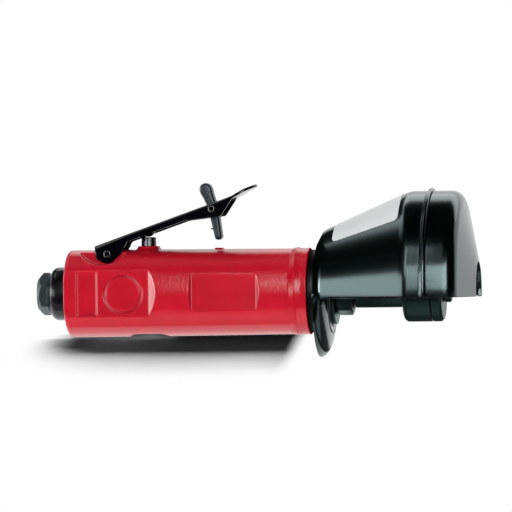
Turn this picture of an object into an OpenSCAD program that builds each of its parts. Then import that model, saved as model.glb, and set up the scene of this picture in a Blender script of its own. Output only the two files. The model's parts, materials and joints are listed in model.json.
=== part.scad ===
// A straight pneumatic cut-off tool: a vane motor in a cast handle, a lever throttle with a
// lock-off latch, and a half guard over the wheel flanges. No wheel is fitted.
// The origin is on the spindle axis, at the front face of the inner wheel flange.
// +X runs from the handle to the wheel and +Z up to the throttle lever.

/* [Wheel end] */
// Diameter of both wheel flanges
flange_d = 27; // [24:0.2:30]
// Thickness of the inner wheel flange
inner_flange_t = 11.9; // [10:0.1:14]
// Rounding of the inner flange's rear edge
inner_flange_round = 2.4; // [1:0.1:3.5]
// Thickness of the outer wheel flange
outer_flange_t = 3.8; // [3:0.1:5]
// Chamfer round the outer flange's front edge
flange_chamfer = 1; // [0.4:0.1:1.6]
// Length of the pilot that centres the wheel, and so the gap between the flanges
wheel_gap = 1.2; // [0.8:0.1:2]
// Diameter of the pilot that centres the wheel
pilot_d = 9.525; // [8.5:0.005:11]
// Diameter of the arbor screw
screw_d = 6; // [5:0.1:6.6]
// Width across the flats of the arbor screw's head
screw_af = 9.5; // [8.5:0.1:11]
// Height of the arbor screw's head
screw_head_h = 3.3; // [2.5:0.1:4.5]
// Length of the arbor screw inside the spindle
screw_grip = 12; // [8:0.5:16]
// Diameter of the spindle's shank
spindle_d = 14.6; // [13:0.1:16]
// Length between the nose of the front cap and the inner flange
spindle_len = 21.2; // [17:0.1:25]
// Diameter of the spindle inside the nose
spindle_neck_d = 10; // [9.4:0.1:10.6]
// Length of the spindle's spigot inside the inner flange
spigot_len = 7.5; // [5:0.1:8.5]

/* [Guard] */
// Diameter of the wheel that the guard covers
wheel_d = 76; // [70:0.5:84]
// Radial gap between the wheel and the guard
wheel_clear = 2.2; // [1.5:0.1:4]
// Wall of the pressed guard
guard_wall = 1.8; // [1.2:0.1:2.4]
// Thickness of the guard at its seat on the nose
guard_seat_t = 2.4; // [2.4:0.1:3.4]
// Radius of the flat seat
guard_seat_r = 15; // [14.6:0.1:16]
// Radius of the lip behind the seat, in the upper half
guard_lip_r = 18.5; // [18:0.1:19.5]
// Distance of that lip behind the seat
guard_lip_back = 2.9; // [2:0.1:3.6]
// Radius where the rear wall meets the hood's cone
hood_r = 25.2; // [23:0.1:28]
// Distance of that corner behind the seat
hood_back = 0.6; // [0:0.1:1.2]
// Length of the drum behind the seam
drum_back = 9.4; // [7:0.1:13]
// Length of the drum in front of the seam
drum_front = 11.6; // [9:0.1:14]
// Rise of the front cone from the drum to the hole
front_rise = 6.2; // [4:0.1:9]
// Radius of the hole in the front cone
front_hole_r = 11.5; // [9.5:0.1:14]
// Radius of the lower lip's rim
rim_r = 27.4; // [25:0.1:30]
// Distance of the lower lip's rim behind the seat
rim_back = 3.9; // [3:0.1:4.6]
// Distance of the guard's cut edge below the axis
guard_drop = 2; // [0.5:0.1:4]
// Height of the bead along the seam
bead_h = 1.2; // [0.6:0.1:2]
// Width of the bead along the seam
bead_w = 1.5; // [0.8:0.1:2.5]
// Rounding of the hood's rear corner
hood_round = 3.6; // [2:0.1:4.2]
// Rounding between the cone and the drum
drum_round = 9; // [5:0.5:12]
// Rounding of the drum's front shoulder
shoulder_round = 5; // [3:0.1:6]
// Rounding of the lip and the seat's edge
lip_round = 1.4; // [1.1:0.1:1.7]

/* [Guard clamp] */
// Thread diameter of the nose
nose_d = 15.2; // [14.6:0.1:16]
// Length of the nose in front of its nut
nose_proud = 0.4; // [0.2:0.1:1.2]
// Thickness of the guard nut
nut_t = 7.2; // [6:0.1:9]
// Width across the flats of the guard nut
nut_af = 19.2; // [18.6:0.1:21]
// Thickness of the guard washer
washer_t = 1.2; // [0.8:0.1:1.8]
// Diameter of the guard washer
washer_d = 28.6; // [26:0.1:30]
// Diameter of the shoulder that the guard seats on
shoulder_d = 25; // [23:0.1:27]
// Length of that shoulder
shoulder_len = 4.5; // [3.8:0.1:6]
// Diameter of the front cap's flange
cap_flange_d = 35.2; // [33.6:0.1:35.6]
// Thickness of the front cap's flange
cap_flange_t = 3; // [2:0.1:4]
// Length of the front cap's thread inside the housing
cap_thread_len = 8.2; // [6:0.1:10]

/* [Motor] */
// Bore of the housing for the motor
motor_d = 30; // [29:0.1:31]
// Thickness of the front end plate
front_plate_t = 9; // [8.6:0.1:11]
// Length of the motor cylinder
cylinder_len = 36; // [32:0.5:40]
// Thickness of the rear end plate
rear_plate_t = 7; // [6.6:0.1:9]
// Radius of the cylinder's bore
cylinder_bore_r = 11.6; // [11.2:0.1:12]
// Offset of the cylinder's bore from the axis
cylinder_offset = 1.2; // [0.8:0.1:1.4]
// Side clearance between the rotor and each end plate
rotor_side = 0.15; // [0.05:0.05:0.3]
// Clearance between the rotor and the cylinder at their closest
rotor_close = 0.3; // [0.2:0.05:0.5]
// Thickness of a rotor vane
vane_t = 2; // [1.5:0.1:2.5]
// Radial width of a rotor vane
vane_w = 5.6; // [4.5:0.1:6]
// Clearance of a vane in its slot
vane_clear = 0.05; // [0.03:0.01:0.1]
// Number of rotor vanes
vanes = 4; // [3:1:5]
// Diameter of the dowel that lines up the motor
dowel_d = 2; // [1.5:0.1:2.4]

/* [Bearings] */
// Bore of the rear bearing
rear_bearing_bore = 6; // [5.6:0.1:6.4]
// Outside diameter of the rear bearing
rear_bearing_od = 15; // [14.6:0.1:15.6]
// Width of the rear bearing
rear_bearing_w = 5; // [4.6:0.1:5.6]
// Bore of the front bearing
front_bearing_bore = 8; // [7.6:0.1:8.4]
// Outside diameter of the front bearing
front_bearing_od = 22; // [21.4:0.1:22.4]
// Width of the front bearing
front_bearing_w = 7; // [6.6:0.1:7.4]
// Number of balls in each bearing
balls = 7; // [6:1:8]

/* [Housing] */
// Diameter of the housing at the valve end
housing_d = 37.2; // [36.4:0.1:38.6]
// Diameter of the grip at its front end
grip_d = 36.5; // [36:0.1:37.6]
// Diameter of the front collar
collar_d = 37.8; // [37:0.1:39]
// Length of the valve end, behind the motor
valve_block = 44.2; // [41:0.1:48]
// Rounding of the housing's rear edge
edge_round = 4.8; // [3:0.1:6]
// Length of the front collar in front of its groove
front_collar = 5.2; // [4:0.1:6.5]
// Depth of the groove behind the front collar
groove_depth = 0.6; // [0.3:0.1:0.9]
// Width of that groove
groove_w = 1; // [0.6:0.1:1.6]
// Depth of the front collar's waist
waist_depth = 0.8; // [0.4:0.1:1.1]
// Length of the flare behind the groove
flare_len = 4; // [2:0.1:6]
// Chamfer of the housing's front rim
rim_chamfer = 0.4; // [0.2:0.1:0.8]
// Distance of the rear flats from the axis
flat_y = 16.4; // [15.6:0.1:17]
// Distance from the valve to the front end of the rear flats
flat_end = 2; // [0:0.1:4]
// Distance of the grip's pads from the axis
pad_y = 16.6; // [16.3:0.1:17.2]
// Length of a grip pad
pad_len = 28; // [22:0.5:32]
// Distance from the grip pad to the housing's front
pad_front = 21.5; // [17:0.5:26]
// Width of the bare panel on the rear flat
panel_w = 8.6; // [6:0.1:10]
// Height of the bare panel
panel_h = 15.2; // [11:0.1:15.6]
// Distance from the panel to the housing's rear face
panel_rear = 5.6; // [4.8:0.1:6.5]
// Depth of the panel and of the medallion's groove
mark_depth = 0.4; // [0.2:0.05:0.6]
// Radius of the medallion
medal_r = 8.2; // [6:0.1:8.4]
// Width of the medallion's groove
medal_groove = 0.9; // [0.5:0.1:1.5]
// Distance from the valve back to the medallion's centre
medal_back = 9; // [7.5:0.1:9.6]
// Length of the stop nub under the latch
nub_l = 3.9; // [3:0.1:5]
// Height of the stop nub over the grip
nub_h = 0.7; // [0.4:0.1:0.9]

/* [Air inlet] */
// Width across the flats of the inlet bushing
inlet_af = 15.9; // [15:0.1:17]
// Length of the inlet bushing's hex
inlet_hex = 6.6; // [5.5:0.1:8]
// Diameter of the inlet bushing's neck
inlet_neck_d = 17.2; // [16.8:0.1:17.6]
// Thread diameter of the inlet bushing in the housing
inlet_thread_d = 15.2; // [14.6:0.1:15.4]
// Depth of the inlet bushing's hole in the housing
inlet_depth = 14; // [11:0.1:15]
// Diameter of the inlet's tapped bore
inlet_tap_d = 11.12; // [10.8:0.01:11.4]
// Length of the inlet's tapped bore
inlet_tap_len = 12; // [10:0.1:13]
// Diameter of the inlet screen
screen_d = 10.2; // [9.8:0.1:10.6]
// Thickness of the inlet screen
screen_t = 0.6; // [0.4:0.1:0.9]
// Diameter of a hole in the screen
screen_hole = 1.1; // [0.8:0.05:1.2]
// Bore of the bushing in front of the screen
inlet_bore_d = 9; // [8.4:0.1:9.4]
// Thickness of the inlet seal
seal_t = 1.2; // [0.9:0.05:1.3]

/* [Exhaust] */
// Diameter of the exhaust collar
exhaust_d = 22.7; // [21.6:0.1:24]
// Length of the exhaust collar
exhaust_len = 5.9; // [5:0.1:7.5]
// Gap between the exhaust collar and the housing
exhaust_gap = 0.6; // [0.4:0.1:1]
// Wall of the exhaust collar's rear end
exhaust_wall = 2.2; // [1.6:0.1:2.8]
// Radial thickness of the muffler ring
muffler_t = 1.5; // [1.1:0.1:1.6]
// Radius of an exhaust port
port_r = 1.6; // [1.2:0.05:1.7]
// Distance of the exhaust ports from the axis
port_at = 9.6; // [9.5:0.05:9.8]

/* [Throttle valve] */
// Distance from the motor back to the valve
valve_back = 9.5; // [9:0.1:11]
// Diameter of the valve stem
stem_d = 5.6; // [5.2:0.1:6]
// Height of the stem's top over the boss
stem_rise = 3.7; // [3.5:0.05:3.9]
// Height of the valve boss over the housing
boss_rise = 1.5; // [1.2:0.1:2]
// Diameter of the boss at its top
boss_d = 9.6; // [9.2:0.1:10.4]
// Diameter of the boss at its foot
boss_foot_d = 13.2; // [12:0.1:13.6]
// Wall of the stem's bush
bush_wall = 1.1; // [0.8:0.1:1.2]
// Length of the stem's bush
bush_len = 7.6; // [6:0.1:8.4]
// Diameter of the stem under its bush
stem_thin_d = 3; // [2.4:0.1:3.4]
// Thickness of the stem's collar
stem_collar_t = 1.4; // [1:0.1:2]
// Diameter of the valve's upper chamber
upper_d = 7; // [6.6:0.1:7.4]
// Diameter of the valve's lower bore
lower_d = 10; // [9.6:0.1:10.4]
// Thickness of the valve seat
seat_t = 2.2; // [1.6:0.1:2.6]
// Diameter of the valve seat's hole
seat_hole = 5.2; // [4.8:0.1:5.6]
// Diameter of the valve ball
ball_d = 6.6; // [6.2:0.1:7]
// Radius of the throttle spring
spring_r = 2.6; // [2.4:0.05:2.9]
// Radius of the throttle spring's wire
spring_wire = 0.4; // [0.3:0.05:0.45]
// Number of the throttle spring's curls
spring_curls = 4; // [3:1:5]
// Radius of the passages for air
air_r = 2.2; // [1.8:0.1:2.3]
// Height of the motor's feed over the axis
feed_z = 10.2; // [10:0.1:10.4]
// Depth of the inlet's passage under the axis
inlet_low = 4.6; // [4:0.1:5]

/* [Regulator] */
// Diameter of the recess under the handle
recess_d = 17; // [14:0.1:19]
// Depth of that recess
recess_depth = 1.2; // [0.8:0.1:1.8]
// Thickness of the regulator clip
clip_t = 0.8; // [0.6:0.05:1]
// Depth of the regulator clip's groove
clip_depth = 0.6; // [0.4:0.05:0.8]
// Radial width of the regulator clip
clip_w = 1.4; // [1.1:0.1:1.6]
// Thickness of the regulator screw
regulator_t = 2.9; // [2.6:0.1:3.2]
// Width of the regulator screw's slot
slot_w = 1.2; // [0.8:0.1:1.6]
// Depth of the regulator screw's slot
slot_depth = 0.8; // [0.5:0.1:1]
// Diameter of the regulator's post in the spring
post_d = 2.6; // [2:0.1:3]
// Length of the regulator's post in the spring
post_len = 1.6; // [1:0.1:2]

/* [Lever] */
// Distance from the valve back to the lever's pivot
lever_arm = 16.9; // [16.5:0.05:17.2]
// Depth of the lever's pivot under the top of the housing
pivot_depth = 1.7; // [1.6:0.05:1.9]
// Slope of the lever at rest, in degrees
lever_slope = 19.2; // [18.8:0.1:19.6]
// Width of the lever
lever_w = 16; // [15.6:0.1:17]
// Sheet thickness of the lever
sheet_t = 1.2; // [1:0.05:1.3]
// Height of the lever's web over its pivot
web_top = 5; // [4.9:0.05:5.2]
// Length of the lever behind its pivot
heel = 3.9; // [3.6:0.1:4.1]
// Radius of the lever's ears
ear_r = 4.1; // [4:0.05:4.2]
// Distance from the pivot to the front of an ear
ear_front = 9.7; // [9:0.1:11]
// Depth of the lever's side under its web
side_depth = 3.3; // [2.6:0.1:3.4]
// Distance from the pivot to the start of a cheek
cheek_start = 36.2; // [33:0.1:39]
// Distance from the pivot to the lowest point of a cheek
cheek_low = 51.5; // [51.5:0.1:53]
// Depth of a cheek under the web's top
cheek_depth = 6.5; // [6:0.1:7.2]
// Distance from the pivot to the bend of the tip
bend_at = 59.4; // [59.4:0.1:61]
// Upward bend of the tip, in degrees
tip_bend = 7; // [0:0.5:10]
// Length of the tip in front of the bend
tip_len = 10.4; // [9.5:0.1:12]
// Depth of the tip's rolled edge
tip_depth = 2.2; // [1.6:0.1:2.8]
// Diameter of the lever pin
pin_d = 2.8; // [2.4:0.1:3]
// Bore of the lever pin
pin_bore = 1.5; // [1:0.1:1.7]
// Length of a pin that shows at each side
pin_proud = 0.4; // [0.2:0.05:0.8]
// Gap between the lever's ears and the housing's lug
lug_gap = 0.35; // [0.25:0.05:0.5]
// Height of the lug's flat over the pivot
lug_top = 1.3; // [1.2:0.05:1.4]
// Radius of the scoops beside the lug
scoop_r = 12.8; // [11.5:0.1:14]
// Gap between the ears and the scoops
scoop_gap = 0.6; // [0.4:0.05:0.8]
// Radius of the dimple that presses the stem
dimple_r = 3; // [2.8:0.05:3.2]
// Free play between the dimple and the stem
free_play = 0.2; // [0.15:0.05:0.3]

/* [Latch] */
// Distance of the latch's pin from the lever's pivot
latch_at = 48.8; // [48.4:0.1:49]
// Depth of the latch's pin under the web's top
latch_depth = 2.3; // [2.2:0.05:2.5]
// Width of the latch
latch_w = 7; // [6:0.1:7.2]
// Diameter of the latch's pin
latch_pin_d = 2.6; // [2.4:0.1:2.8]
// Distance from the pin to the centre of the knob
knob_at = 8.6; // [8.2:0.1:8.8]
// Radius of the knob
knob_r = 3.1; // [2.8:0.05:3.2]
// Radius of the latch's neck and hub
neck_r = 2.1; // [2:0.05:2.2]
// Distance from the pin to the centre of the foot's end
leg_len = 11.8; // [11.4:0.1:12]
// Radius of the foot's end
foot_r = 1.6; // [1.5:0.05:1.65]
// Lean of the knob towards the rear, in degrees
knob_lean = 15.5; // [14:0.5:17]
// Lean of the leg towards the front, in degrees
leg_lean = 9.8; // [9:0.2:10.6]
// Length of the web's slot behind the pin
slot_back = 4.2; // [4:0.1:4.6]
// Length of the web's slot in front of the pin
slot_ahead = 10.6; // [10.5:0.1:10.8]
// Side gap of the latch in the web's slot
slot_side = 0.5; // [0.35:0.05:0.6]
// Radius of the latch spring
latch_spring_r = 2.1; // [2.05:0.05:2.3]
// Radius of the latch spring's wire
latch_wire = 0.3; // [0.25:0.05:0.32]
// Number of the latch spring's curls
latch_curls = 2; // [2:1:2]
// Distance from the pin to the hook of the latch spring
hook_at = 8.2; // [7:0.1:9]

/* [Hidden] */
$fn = 96;
// Overrun of every cut
cut = 1;
// Gap between pieces that are fixed together
fit_gap = 0.03;
// Gap round a thread, and between the regulator and its clip
free_gap = 0.06;
// Radial gap of a running fit
run_gap = 0.05;
// Radial gap of the spindle in the nose
nose_clear = 0.3;
// Radial gap of the stem's collar in its chamber
collar_clear = 0.3;
// Radial gap of the rotor's shaft in the rear and the front end plate
rear_shaft_clear = 0.6;
front_shaft_clear = 1.3;
// Height of the rotor's shoulders beside the rear and the front bearing
rear_step = 0.4;
front_step = 1;
// Step from the front bearing's seat down to the rotor's thread
thread_step = 0.5;
// Width of the front cap's ledge on the front bearing
cap_ledge = 0.8;
// Gap between a vane and the floor of its slot
vane_floor = 0.15;
// Gap between the latch spring's hook and the latch
hook_gap = 0.1;
// Gap between the latch spring's curls and the pieces beside them
coil_gap = 0.3;
// Shares of a whole, for the middle of a size and for tapers
half_share = 1 / 2;
groove_shares = [0.28, 0.25];
foot_share = 0.93;
// Radius of a turned hex end as a share of the width across the flats
chamfer_share = 0.48;
// How far each hex is turned about the axis, in degrees
inlet_turn = 5.5;
screw_turn = 10;
nut_turn = -45;
// Slope of a turned hex end, and the turn of the dowel about the axis, in degrees
cone_turn = 30;
dowel_turn = -40;
// Steps along an arc
arc_steps = 6;

// Distances along the axis, from the wheel back to the inlet
x_inner = -inner_flange_t;
x_nose = x_inner - spindle_len;
x_nut = x_nose - nose_proud - nut_t;
x_washer = x_nut - washer_t;
x_seat = x_washer - guard_seat_t;
x_shoulder = x_seat - shoulder_len;
x_front = x_shoulder - cap_flange_t;
x_cap = x_front - cap_thread_len;
x_front_plate = x_cap - front_plate_t;
x_cylinder = x_front_plate - cylinder_len;
x_motor = x_cylinder - rear_plate_t;
x_rear = x_motor - valve_block;
x_valve = x_motor - valve_back;
x_pivot = x_valve - lever_arm;
x_collar = x_rear - exhaust_gap - exhaust_len;
x_inlet = x_collar - inlet_hex;
x_groove = x_front - front_collar;
x_pad = x_front - pad_front;
x_outer = wheel_gap + outer_flange_t;
x_tap = x_inlet + inlet_tap_len;

// Radii
flange_r = flange_d / 2;
housing_r = housing_d / 2;
motor_r = motor_d / 2;
nose_r = nose_d / 2;
neck_bore = spindle_neck_d / 2 + nose_clear;
guard_r = wheel_d / 2 + wheel_clear + guard_wall;
rotor_r = cylinder_bore_r - cylinder_offset - rotor_close;
stem_r = stem_d / 2;
lower_r = lower_d / 2;
upper_r = upper_d / 2;
pin_r = pin_d / 2;
latch_pin_r = latch_pin_d / 2;
dowel_r = dowel_d / 2;

// Heights of the valve and the lever, from the top down
boss_top = housing_r + boss_rise;
stem_top = boss_top + stem_rise;
pivot_z = housing_r - pivot_depth;
z_bush = boss_top - bush_len;
ball_r = ball_d / 2;
z_ball = -seat_t - sqrt(ball_r * ball_r - seat_hole * seat_hole / 4) - run_gap;
z_stem_end = z_ball + ball_r + fit_gap;
z_recess = recess_depth - housing_r;
z_regulator = z_recess + clip_t + free_gap;
z_post = z_regulator + regulator_t;
z_spring = z_ball - ball_r - fit_gap;

// The lever's own axes: u along the web, n square to it, both from the pivot
lug_half = lever_w / 2 - sheet_t - lug_gap;
web_low = web_top - sheet_t;
dimple_n = (stem_top + free_play + dimple_r - pivot_z) * cos(lever_slope)
    - lever_arm * sin(lever_slope);
dimple_u = (stem_top + free_play + dimple_r - pivot_z) * sin(lever_slope)
    + lever_arm * cos(lever_slope);
latch_n = web_top - latch_depth;
// The latch's directions in the lever's axes
knob_turn = 90 + knob_lean - lever_slope;
leg_turn = leg_lean - 90 - lever_slope;

// Directions and paths
function unit(v) = v / norm(v);
function turn_left(v) = [-v[1], v[0]];
function polar(r, a) = r * [cos(a), sin(a)];
function wrap(a) = a > 180 ? a - 360 : a < -180 ? a + 360 : a;
function arc(c, r, a0, a1, n) = [for (i = [0:n]) c + polar(r, a0 + (a1 - a0) * i / n)];
function round_from(c, r, s, e, n) = let (
    a0 = atan2((s - c)[1], (s - c)[0]), d = wrap(atan2((e - c)[1], (e - c)[0]) - a0))
    [for (i = [0:n]) c + polar(r, a0 + d * i / n)];
function corner(p, q, s, r, n) = r == 0 ? [q] : let (
    a = unit(p - q), b = unit(s - q), h = acos(a * b) / 2)
    round_from(q + unit(a + b) * r / sin(h), r, q + a * r / tan(h), q + b * r / tan(h), n);
function rounded(path, radii, n) = [for (i = [0:len(path) - 1])
    for (p = i == 0 || i == len(path) - 1 ? [path[i]]
        : corner(path[i - 1], path[i], path[i + 1], radii[i], n)) p];
function side(path, i) = let (last = len(path) - 1,
    a = i == 0 ? path[1] - path[0] : path[i] - path[i - 1],
    b = i == last ? path[last] - path[last - 1] : path[i + 1] - path[i],
    m = unit(turn_left(unit(a)) + turn_left(unit(b)))) m / (m * turn_left(unit(a)));
function shifted(path, d) = [for (i = [0:len(path) - 1]) path[i] + d * side(path, i)];
function backwards(path) = [for (i = [len(path) - 1:-1:0]) path[i]];
function skin(path, t) = concat(shifted(path, t / 2), backwards(shifted(path, -t / 2)));
function hexagon(af) = [for (i = [0:5]) polar(af / sqrt(3), i * 60)];

// A round tube along a path of points, as one closed skin
function tube_ring(path, i, r, up) = let (last = len(path) - 1,
    t = unit(path[min(i + 1, last)] - path[max(i - 1, 0)]),
    a = unit(cross(t, up)), b = cross(t, a))
    [for (k = [0:5]) path[i] + r * (cos(60 * k) * a + sin(60 * k) * b)];
module tube(path, r, up) {
    count = len(path);
    points = [for (i = [0:count - 1]) for (p = tube_ring(path, i, r, up)) p];
    walls = [for (i = [0:count - 2]) for (k = [0:5])
        let (a = 6 * i + k, b = 6 * i + (k + 1) % 6) each [[a, b, b + 6], [a, b + 6, a + 6]]];
    ends = [for (k = [1:4]) each [[0, k + 1, k], 6 * (count - 1) * [1, 1, 1] + [0, k, k + 1]]];
    polyhedron(points = points, faces = concat(walls, ends));
}
// The least gap between points of a path that are more than half a curl apart
function least_gap(path, per_curl, r) = min([for (i = [0:len(path) - 1])
    for (j = [i + ceil(per_curl / 2):1:len(path) - 1]) norm(path[i] - path[j])]) - 2 * r;

// Round pieces along each axis
module rod_x(x0, x1, r) {
    translate([x0, 0, 0]) rotate([0, 90, 0]) cylinder(h = x1 - x0, r = r);
}
module rod_y(y0, y1, r) {
    translate([0, y0, 0]) rotate([-90, 0, 0]) cylinder(h = y1 - y0, r = r);
}
module rod_z(z0, z1, r) {
    translate([0, 0, z0]) cylinder(h = z1 - z0, r = r);
}
module ring_x(x0, x1, r_out, r_in) {
    difference() {
        rod_x(x0, x1, r_out);
        rod_x(x0 - cut, x1 + cut, r_in);
    }
}
module ring_z(z0, z1, r_out, r_in) {
    difference() {
        rod_z(z0, z1, r_out);
        rod_z(z0 - cut, z1 + cut, r_in);
    }
}
// Turns a profile of radius and x about the axis
module turned(profile) {
    rotate([0, 90, 0]) rotate_extrude() polygon(profile);
}
// A hex bar whose corners are turned down to a cone at both ends
module hex_x(x0, x1, af, turn) {
    end_r = af * chamfer_share;
    past_r = af / sqrt(3) + rim_chamfer;
    run = (past_r - end_r) * tan(cone_turn);
    intersection() {
        translate([x0, 0, 0]) rotate([turn, 0, 0]) rotate([0, 90, 0])
            linear_extrude(height = x1 - x0) polygon(hexagon(af));
        turned([[0, x0], [end_r, x0], [past_r, x0 + run], [past_r, x1 - run], [end_r, x1], [0, x1]]);
    }
}
// Draws the same thing on both sides of the tool
module both_sides() {
    children();
    mirror([0, 1, 0]) children();
}
// A flat cut into the side, with a slope at its front and at its rear
module side_flat(x0, x1, y, rear_run, front_run) {
    top = housing_r + cut;
    both_sides() translate([0, 0, -top]) linear_extrude(height = 2 * top)
        polygon([[x0, y], [x1, y], [x1 + front_run, top], [x0 - rear_run, top]]);
}
// Puts its children in the lever's axes
module lever_axes() {
    translate([x_pivot, 0, pivot_z]) rotate([0, -lever_slope, 0]) children();
}
// Stands an outline of u and n up, centred on the middle plane
module slab(w) {
    translate([0, w / 2, 0]) rotate([90, 0, 0]) linear_extrude(height = w) children();
}

housing_path = [[0, x_rear], [housing_r, x_rear], [housing_r, x_valve],
    [grip_d / 2, x_groove - groove_w / 2 - flare_len], [collar_d / 2, x_groove - groove_w / 2],
    [collar_d / 2 - groove_depth, x_groove - groove_w / 4],
    [collar_d / 2 - groove_depth, x_groove + groove_w / 4], [collar_d / 2, x_groove + groove_w / 2],
    [collar_d / 2 - waist_depth, (x_groove + x_front) / 2],
    [collar_d / 2, x_front - rim_chamfer], [collar_d / 2 - rim_chamfer, x_front], [0, x_front]];
housing_radii = [0, edge_round, 0, 0, 0, 0, 0, 0, front_collar / 2, 0, 0, 0];
port_turns = [8, 40];

module housing() {
    color([0.62, 0.05, 0.07]) difference() {
        union() {
            turned(rounded(housing_path, housing_radii, arc_steps));
            translate([x_valve, 0, 0]) {
                rod_z(0, boss_top, boss_d / 2);
                translate([0, 0, boss_top - boss_d / 2])
                    cylinder(h = boss_d / 2 - rim_chamfer, r1 = boss_foot_d / 2 + boss_d / 6,
                        r2 = boss_d / 2);
            }
            translate([x_nub, 0, 0]) rod_z(0, z_grip + nub_h, nub_l / 2);
        }
        rod_x(x_motor, x_front + cut, motor_r);
        side_flat(x_rear - cut, x_valve + flat_end, flat_y, 0, housing_r + cut - flat_y);
        side_flat(x_pad - pad_len, x_pad, pad_y, housing_r + cut - pad_y, (housing_r + cut - pad_y) / 3);
        both_sides() {
            translate([x_rear + panel_rear, flat_y - mark_depth, -panel_h / 2])
                cube([panel_w, mark_depth + cut, panel_h]);
            translate([x_valve - medal_back, 0, 0]) difference() {
                rod_y(flat_y - mark_depth, flat_y + cut, medal_r);
                rod_y(flat_y - mark_depth - cut, flat_y + 2 * cut, medal_r - medal_groove);
            }
            translate([x_pivot, 0, pivot_z - ear_r - scoop_gap + scoop_r])
                rod_y(lug_half, housing_r + cut, scoop_r);
        }
        translate([x_pivot - heel - scoop_r / 4, -lug_half - cut, pivot_z + lug_top])
            cube([heel + scoop_r * half_share, 2 * (lug_half + cut), housing_r]);
        translate([x_pivot, 0, pivot_z]) rod_y(-housing_r, housing_r, pin_r + fit_gap);
        rod_x(x_rear - cut, x_rear + inlet_depth, inlet_thread_d / 2 + fit_gap);
        rod_x(x_rear - cut, x_rear + seal_t, inlet_thread_d / 2 + fit_gap + seal_t);
        translate([0, 0, -inlet_low]) rod_x(x_rear + inlet_depth - cut, x_valve, air_r);
        translate([0, 0, feed_z]) rod_x(x_valve, x_motor + cut, air_r);
        for (side = [1, -1], turn = port_turns)
            translate([0, side * port_at * cos(turn), -port_at * sin(turn)])
                rod_x(x_rear - cut, x_motor + cut, port_r);
        translate([x_valve, 0, 0]) {
            rod_z(z_bush, boss_top + cut, stem_r + bush_wall + fit_gap);
            rod_z(-cut, z_bush + cut, upper_r);
            rod_z(-housing_r - cut, 0, lower_r);
            rod_z(z_recess, z_recess + clip_t + fit_gap, lower_r + clip_depth);
            rod_z(-housing_r - cut, z_recess, recess_d / 2);
        }
    }
}
// The nub lies under the foot of the latch
x_nub = x_pivot + latch_at * cos(lever_slope) - latch_n * sin(lever_slope)
    + leg_len * sin(leg_lean);
grip_slope_share = (x_nub - x_valve) / (x_groove - groove_w / 2 - flare_len - x_valve);
z_grip = housing_r + (grip_d / 2 - housing_r) * grip_slope_share;

module inlet_bushing() {
    thread_r = inlet_thread_d / 2;
    color([0.06, 0.06, 0.07]) difference() {
        union() {
            hex_x(x_inlet, x_collar, inlet_af, inlet_turn);
            rod_x(x_collar - cut, x_rear, inlet_neck_d / 2);
            rod_x(x_rear - cut, x_rear + inlet_depth - fit_gap, thread_r);
        }
        rod_x(x_inlet - cut, x_tap, inlet_tap_d / 2);
        rod_x(x_inlet - cut, x_tap + screen_t + fit_gap, screen_d / 2 + fit_gap);
        rod_x(x_inlet - cut, x_rear + inlet_depth + cut, inlet_bore_d / 2);
    }
}
module inlet_screen() {
    color([0.6, 0.6, 0.58]) difference() {
        rod_x(x_tap + fit_gap / 2, x_tap + screen_t + fit_gap / 2, screen_d / 2);
        for (ring = [0:2], k = [0:max(ring * 6 - 1, 0)])
            rotate([k * 60 / max(ring, 1), 0, 0])
                translate([0, 0, ring * screen_d / 2 * groove_shares[0]])
                    rod_x(x_tap - cut, x_tap + screen_t + cut, screen_hole / 2);
    }
}
module inlet_seal() {
    color([0.05, 0.05, 0.05]) rotate([0, 90, 0]) rotate_extrude()
        translate([inlet_thread_d / 2 + fit_gap + seal_t / 2, x_rear + seal_t / 2])
            circle(r = seal_t / 2 - fit_gap);
}
module exhaust_collar() {
    neck_r = inlet_neck_d / 2 + fit_gap;
    rear = x_collar + fit_gap;
    rim_r = neck_r + muffler_t + fit_gap;
    path = [[neck_r, rear], [exhaust_d / 2, rear], [exhaust_d / 2, x_collar + exhaust_len],
        [rim_r, x_collar + exhaust_len], [rim_r, x_collar + exhaust_wall],
        [neck_r, x_collar + exhaust_wall]];
    color([0.07, 0.07, 0.075])
        turned(rounded(path, [0, exhaust_wall * foot_share, rim_chamfer, 0, 0, 0], arc_steps));
}
module muffler_ring() {
    neck_r = inlet_neck_d / 2 + fit_gap;
    color([0.35, 0.34, 0.3])
        ring_x(x_collar + exhaust_wall + fit_gap, x_rear - fit_gap, neck_r + muffler_t, neck_r);
}
module lever_pin() {
    reach = lever_w / 2 + pin_proud;
    color([0.35, 0.35, 0.36]) translate([x_pivot, 0, pivot_z]) difference() {
        rod_y(-reach, reach, pin_r);
        rod_y(-reach - cut, reach + cut, pin_bore / 2);
        translate([-pin_r * groove_shares[1] / 2, -reach - cut, -pin_d])
            cube([pin_r * groove_shares[1], 2 * (reach + cut), pin_d]);
    }
}
module stem_bush() {
    color([0.7, 0.55, 0.25]) translate([x_valve, 0, 0])
        ring_z(z_bush, boss_top - rim_chamfer, stem_r + bush_wall, stem_r + run_gap);
}
module valve_stem() {
    color([0.72, 0.72, 0.74]) translate([x_valve, 0, 0]) {
        rod_z(z_stem_end, z_bush - fit_gap, stem_thin_d / 2);
        rod_z(z_bush - fit_gap - stem_collar_t, z_bush - fit_gap, upper_r - collar_clear);
        rod_z(z_bush - fit_gap, stem_top - rim_chamfer, stem_r);
        translate([0, 0, stem_top - rim_chamfer])
            cylinder(h = rim_chamfer, r1 = stem_r, r2 = stem_r - rim_chamfer);
    }
}
module valve_ball() {
    color([0.8, 0.8, 0.82]) translate([x_valve, 0, z_ball]) sphere(r = ball_r);
}
module valve_seat() {
    color([0.12, 0.12, 0.12]) translate([x_valve, 0, 0])
        ring_z(-seat_t, -fit_gap, lower_r - fit_gap, seat_hole / 2);
}
spring_low = z_post + spring_wire + fit_gap;
spring_high = z_spring - spring_wire + ball_r * groove_shares[0];
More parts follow.
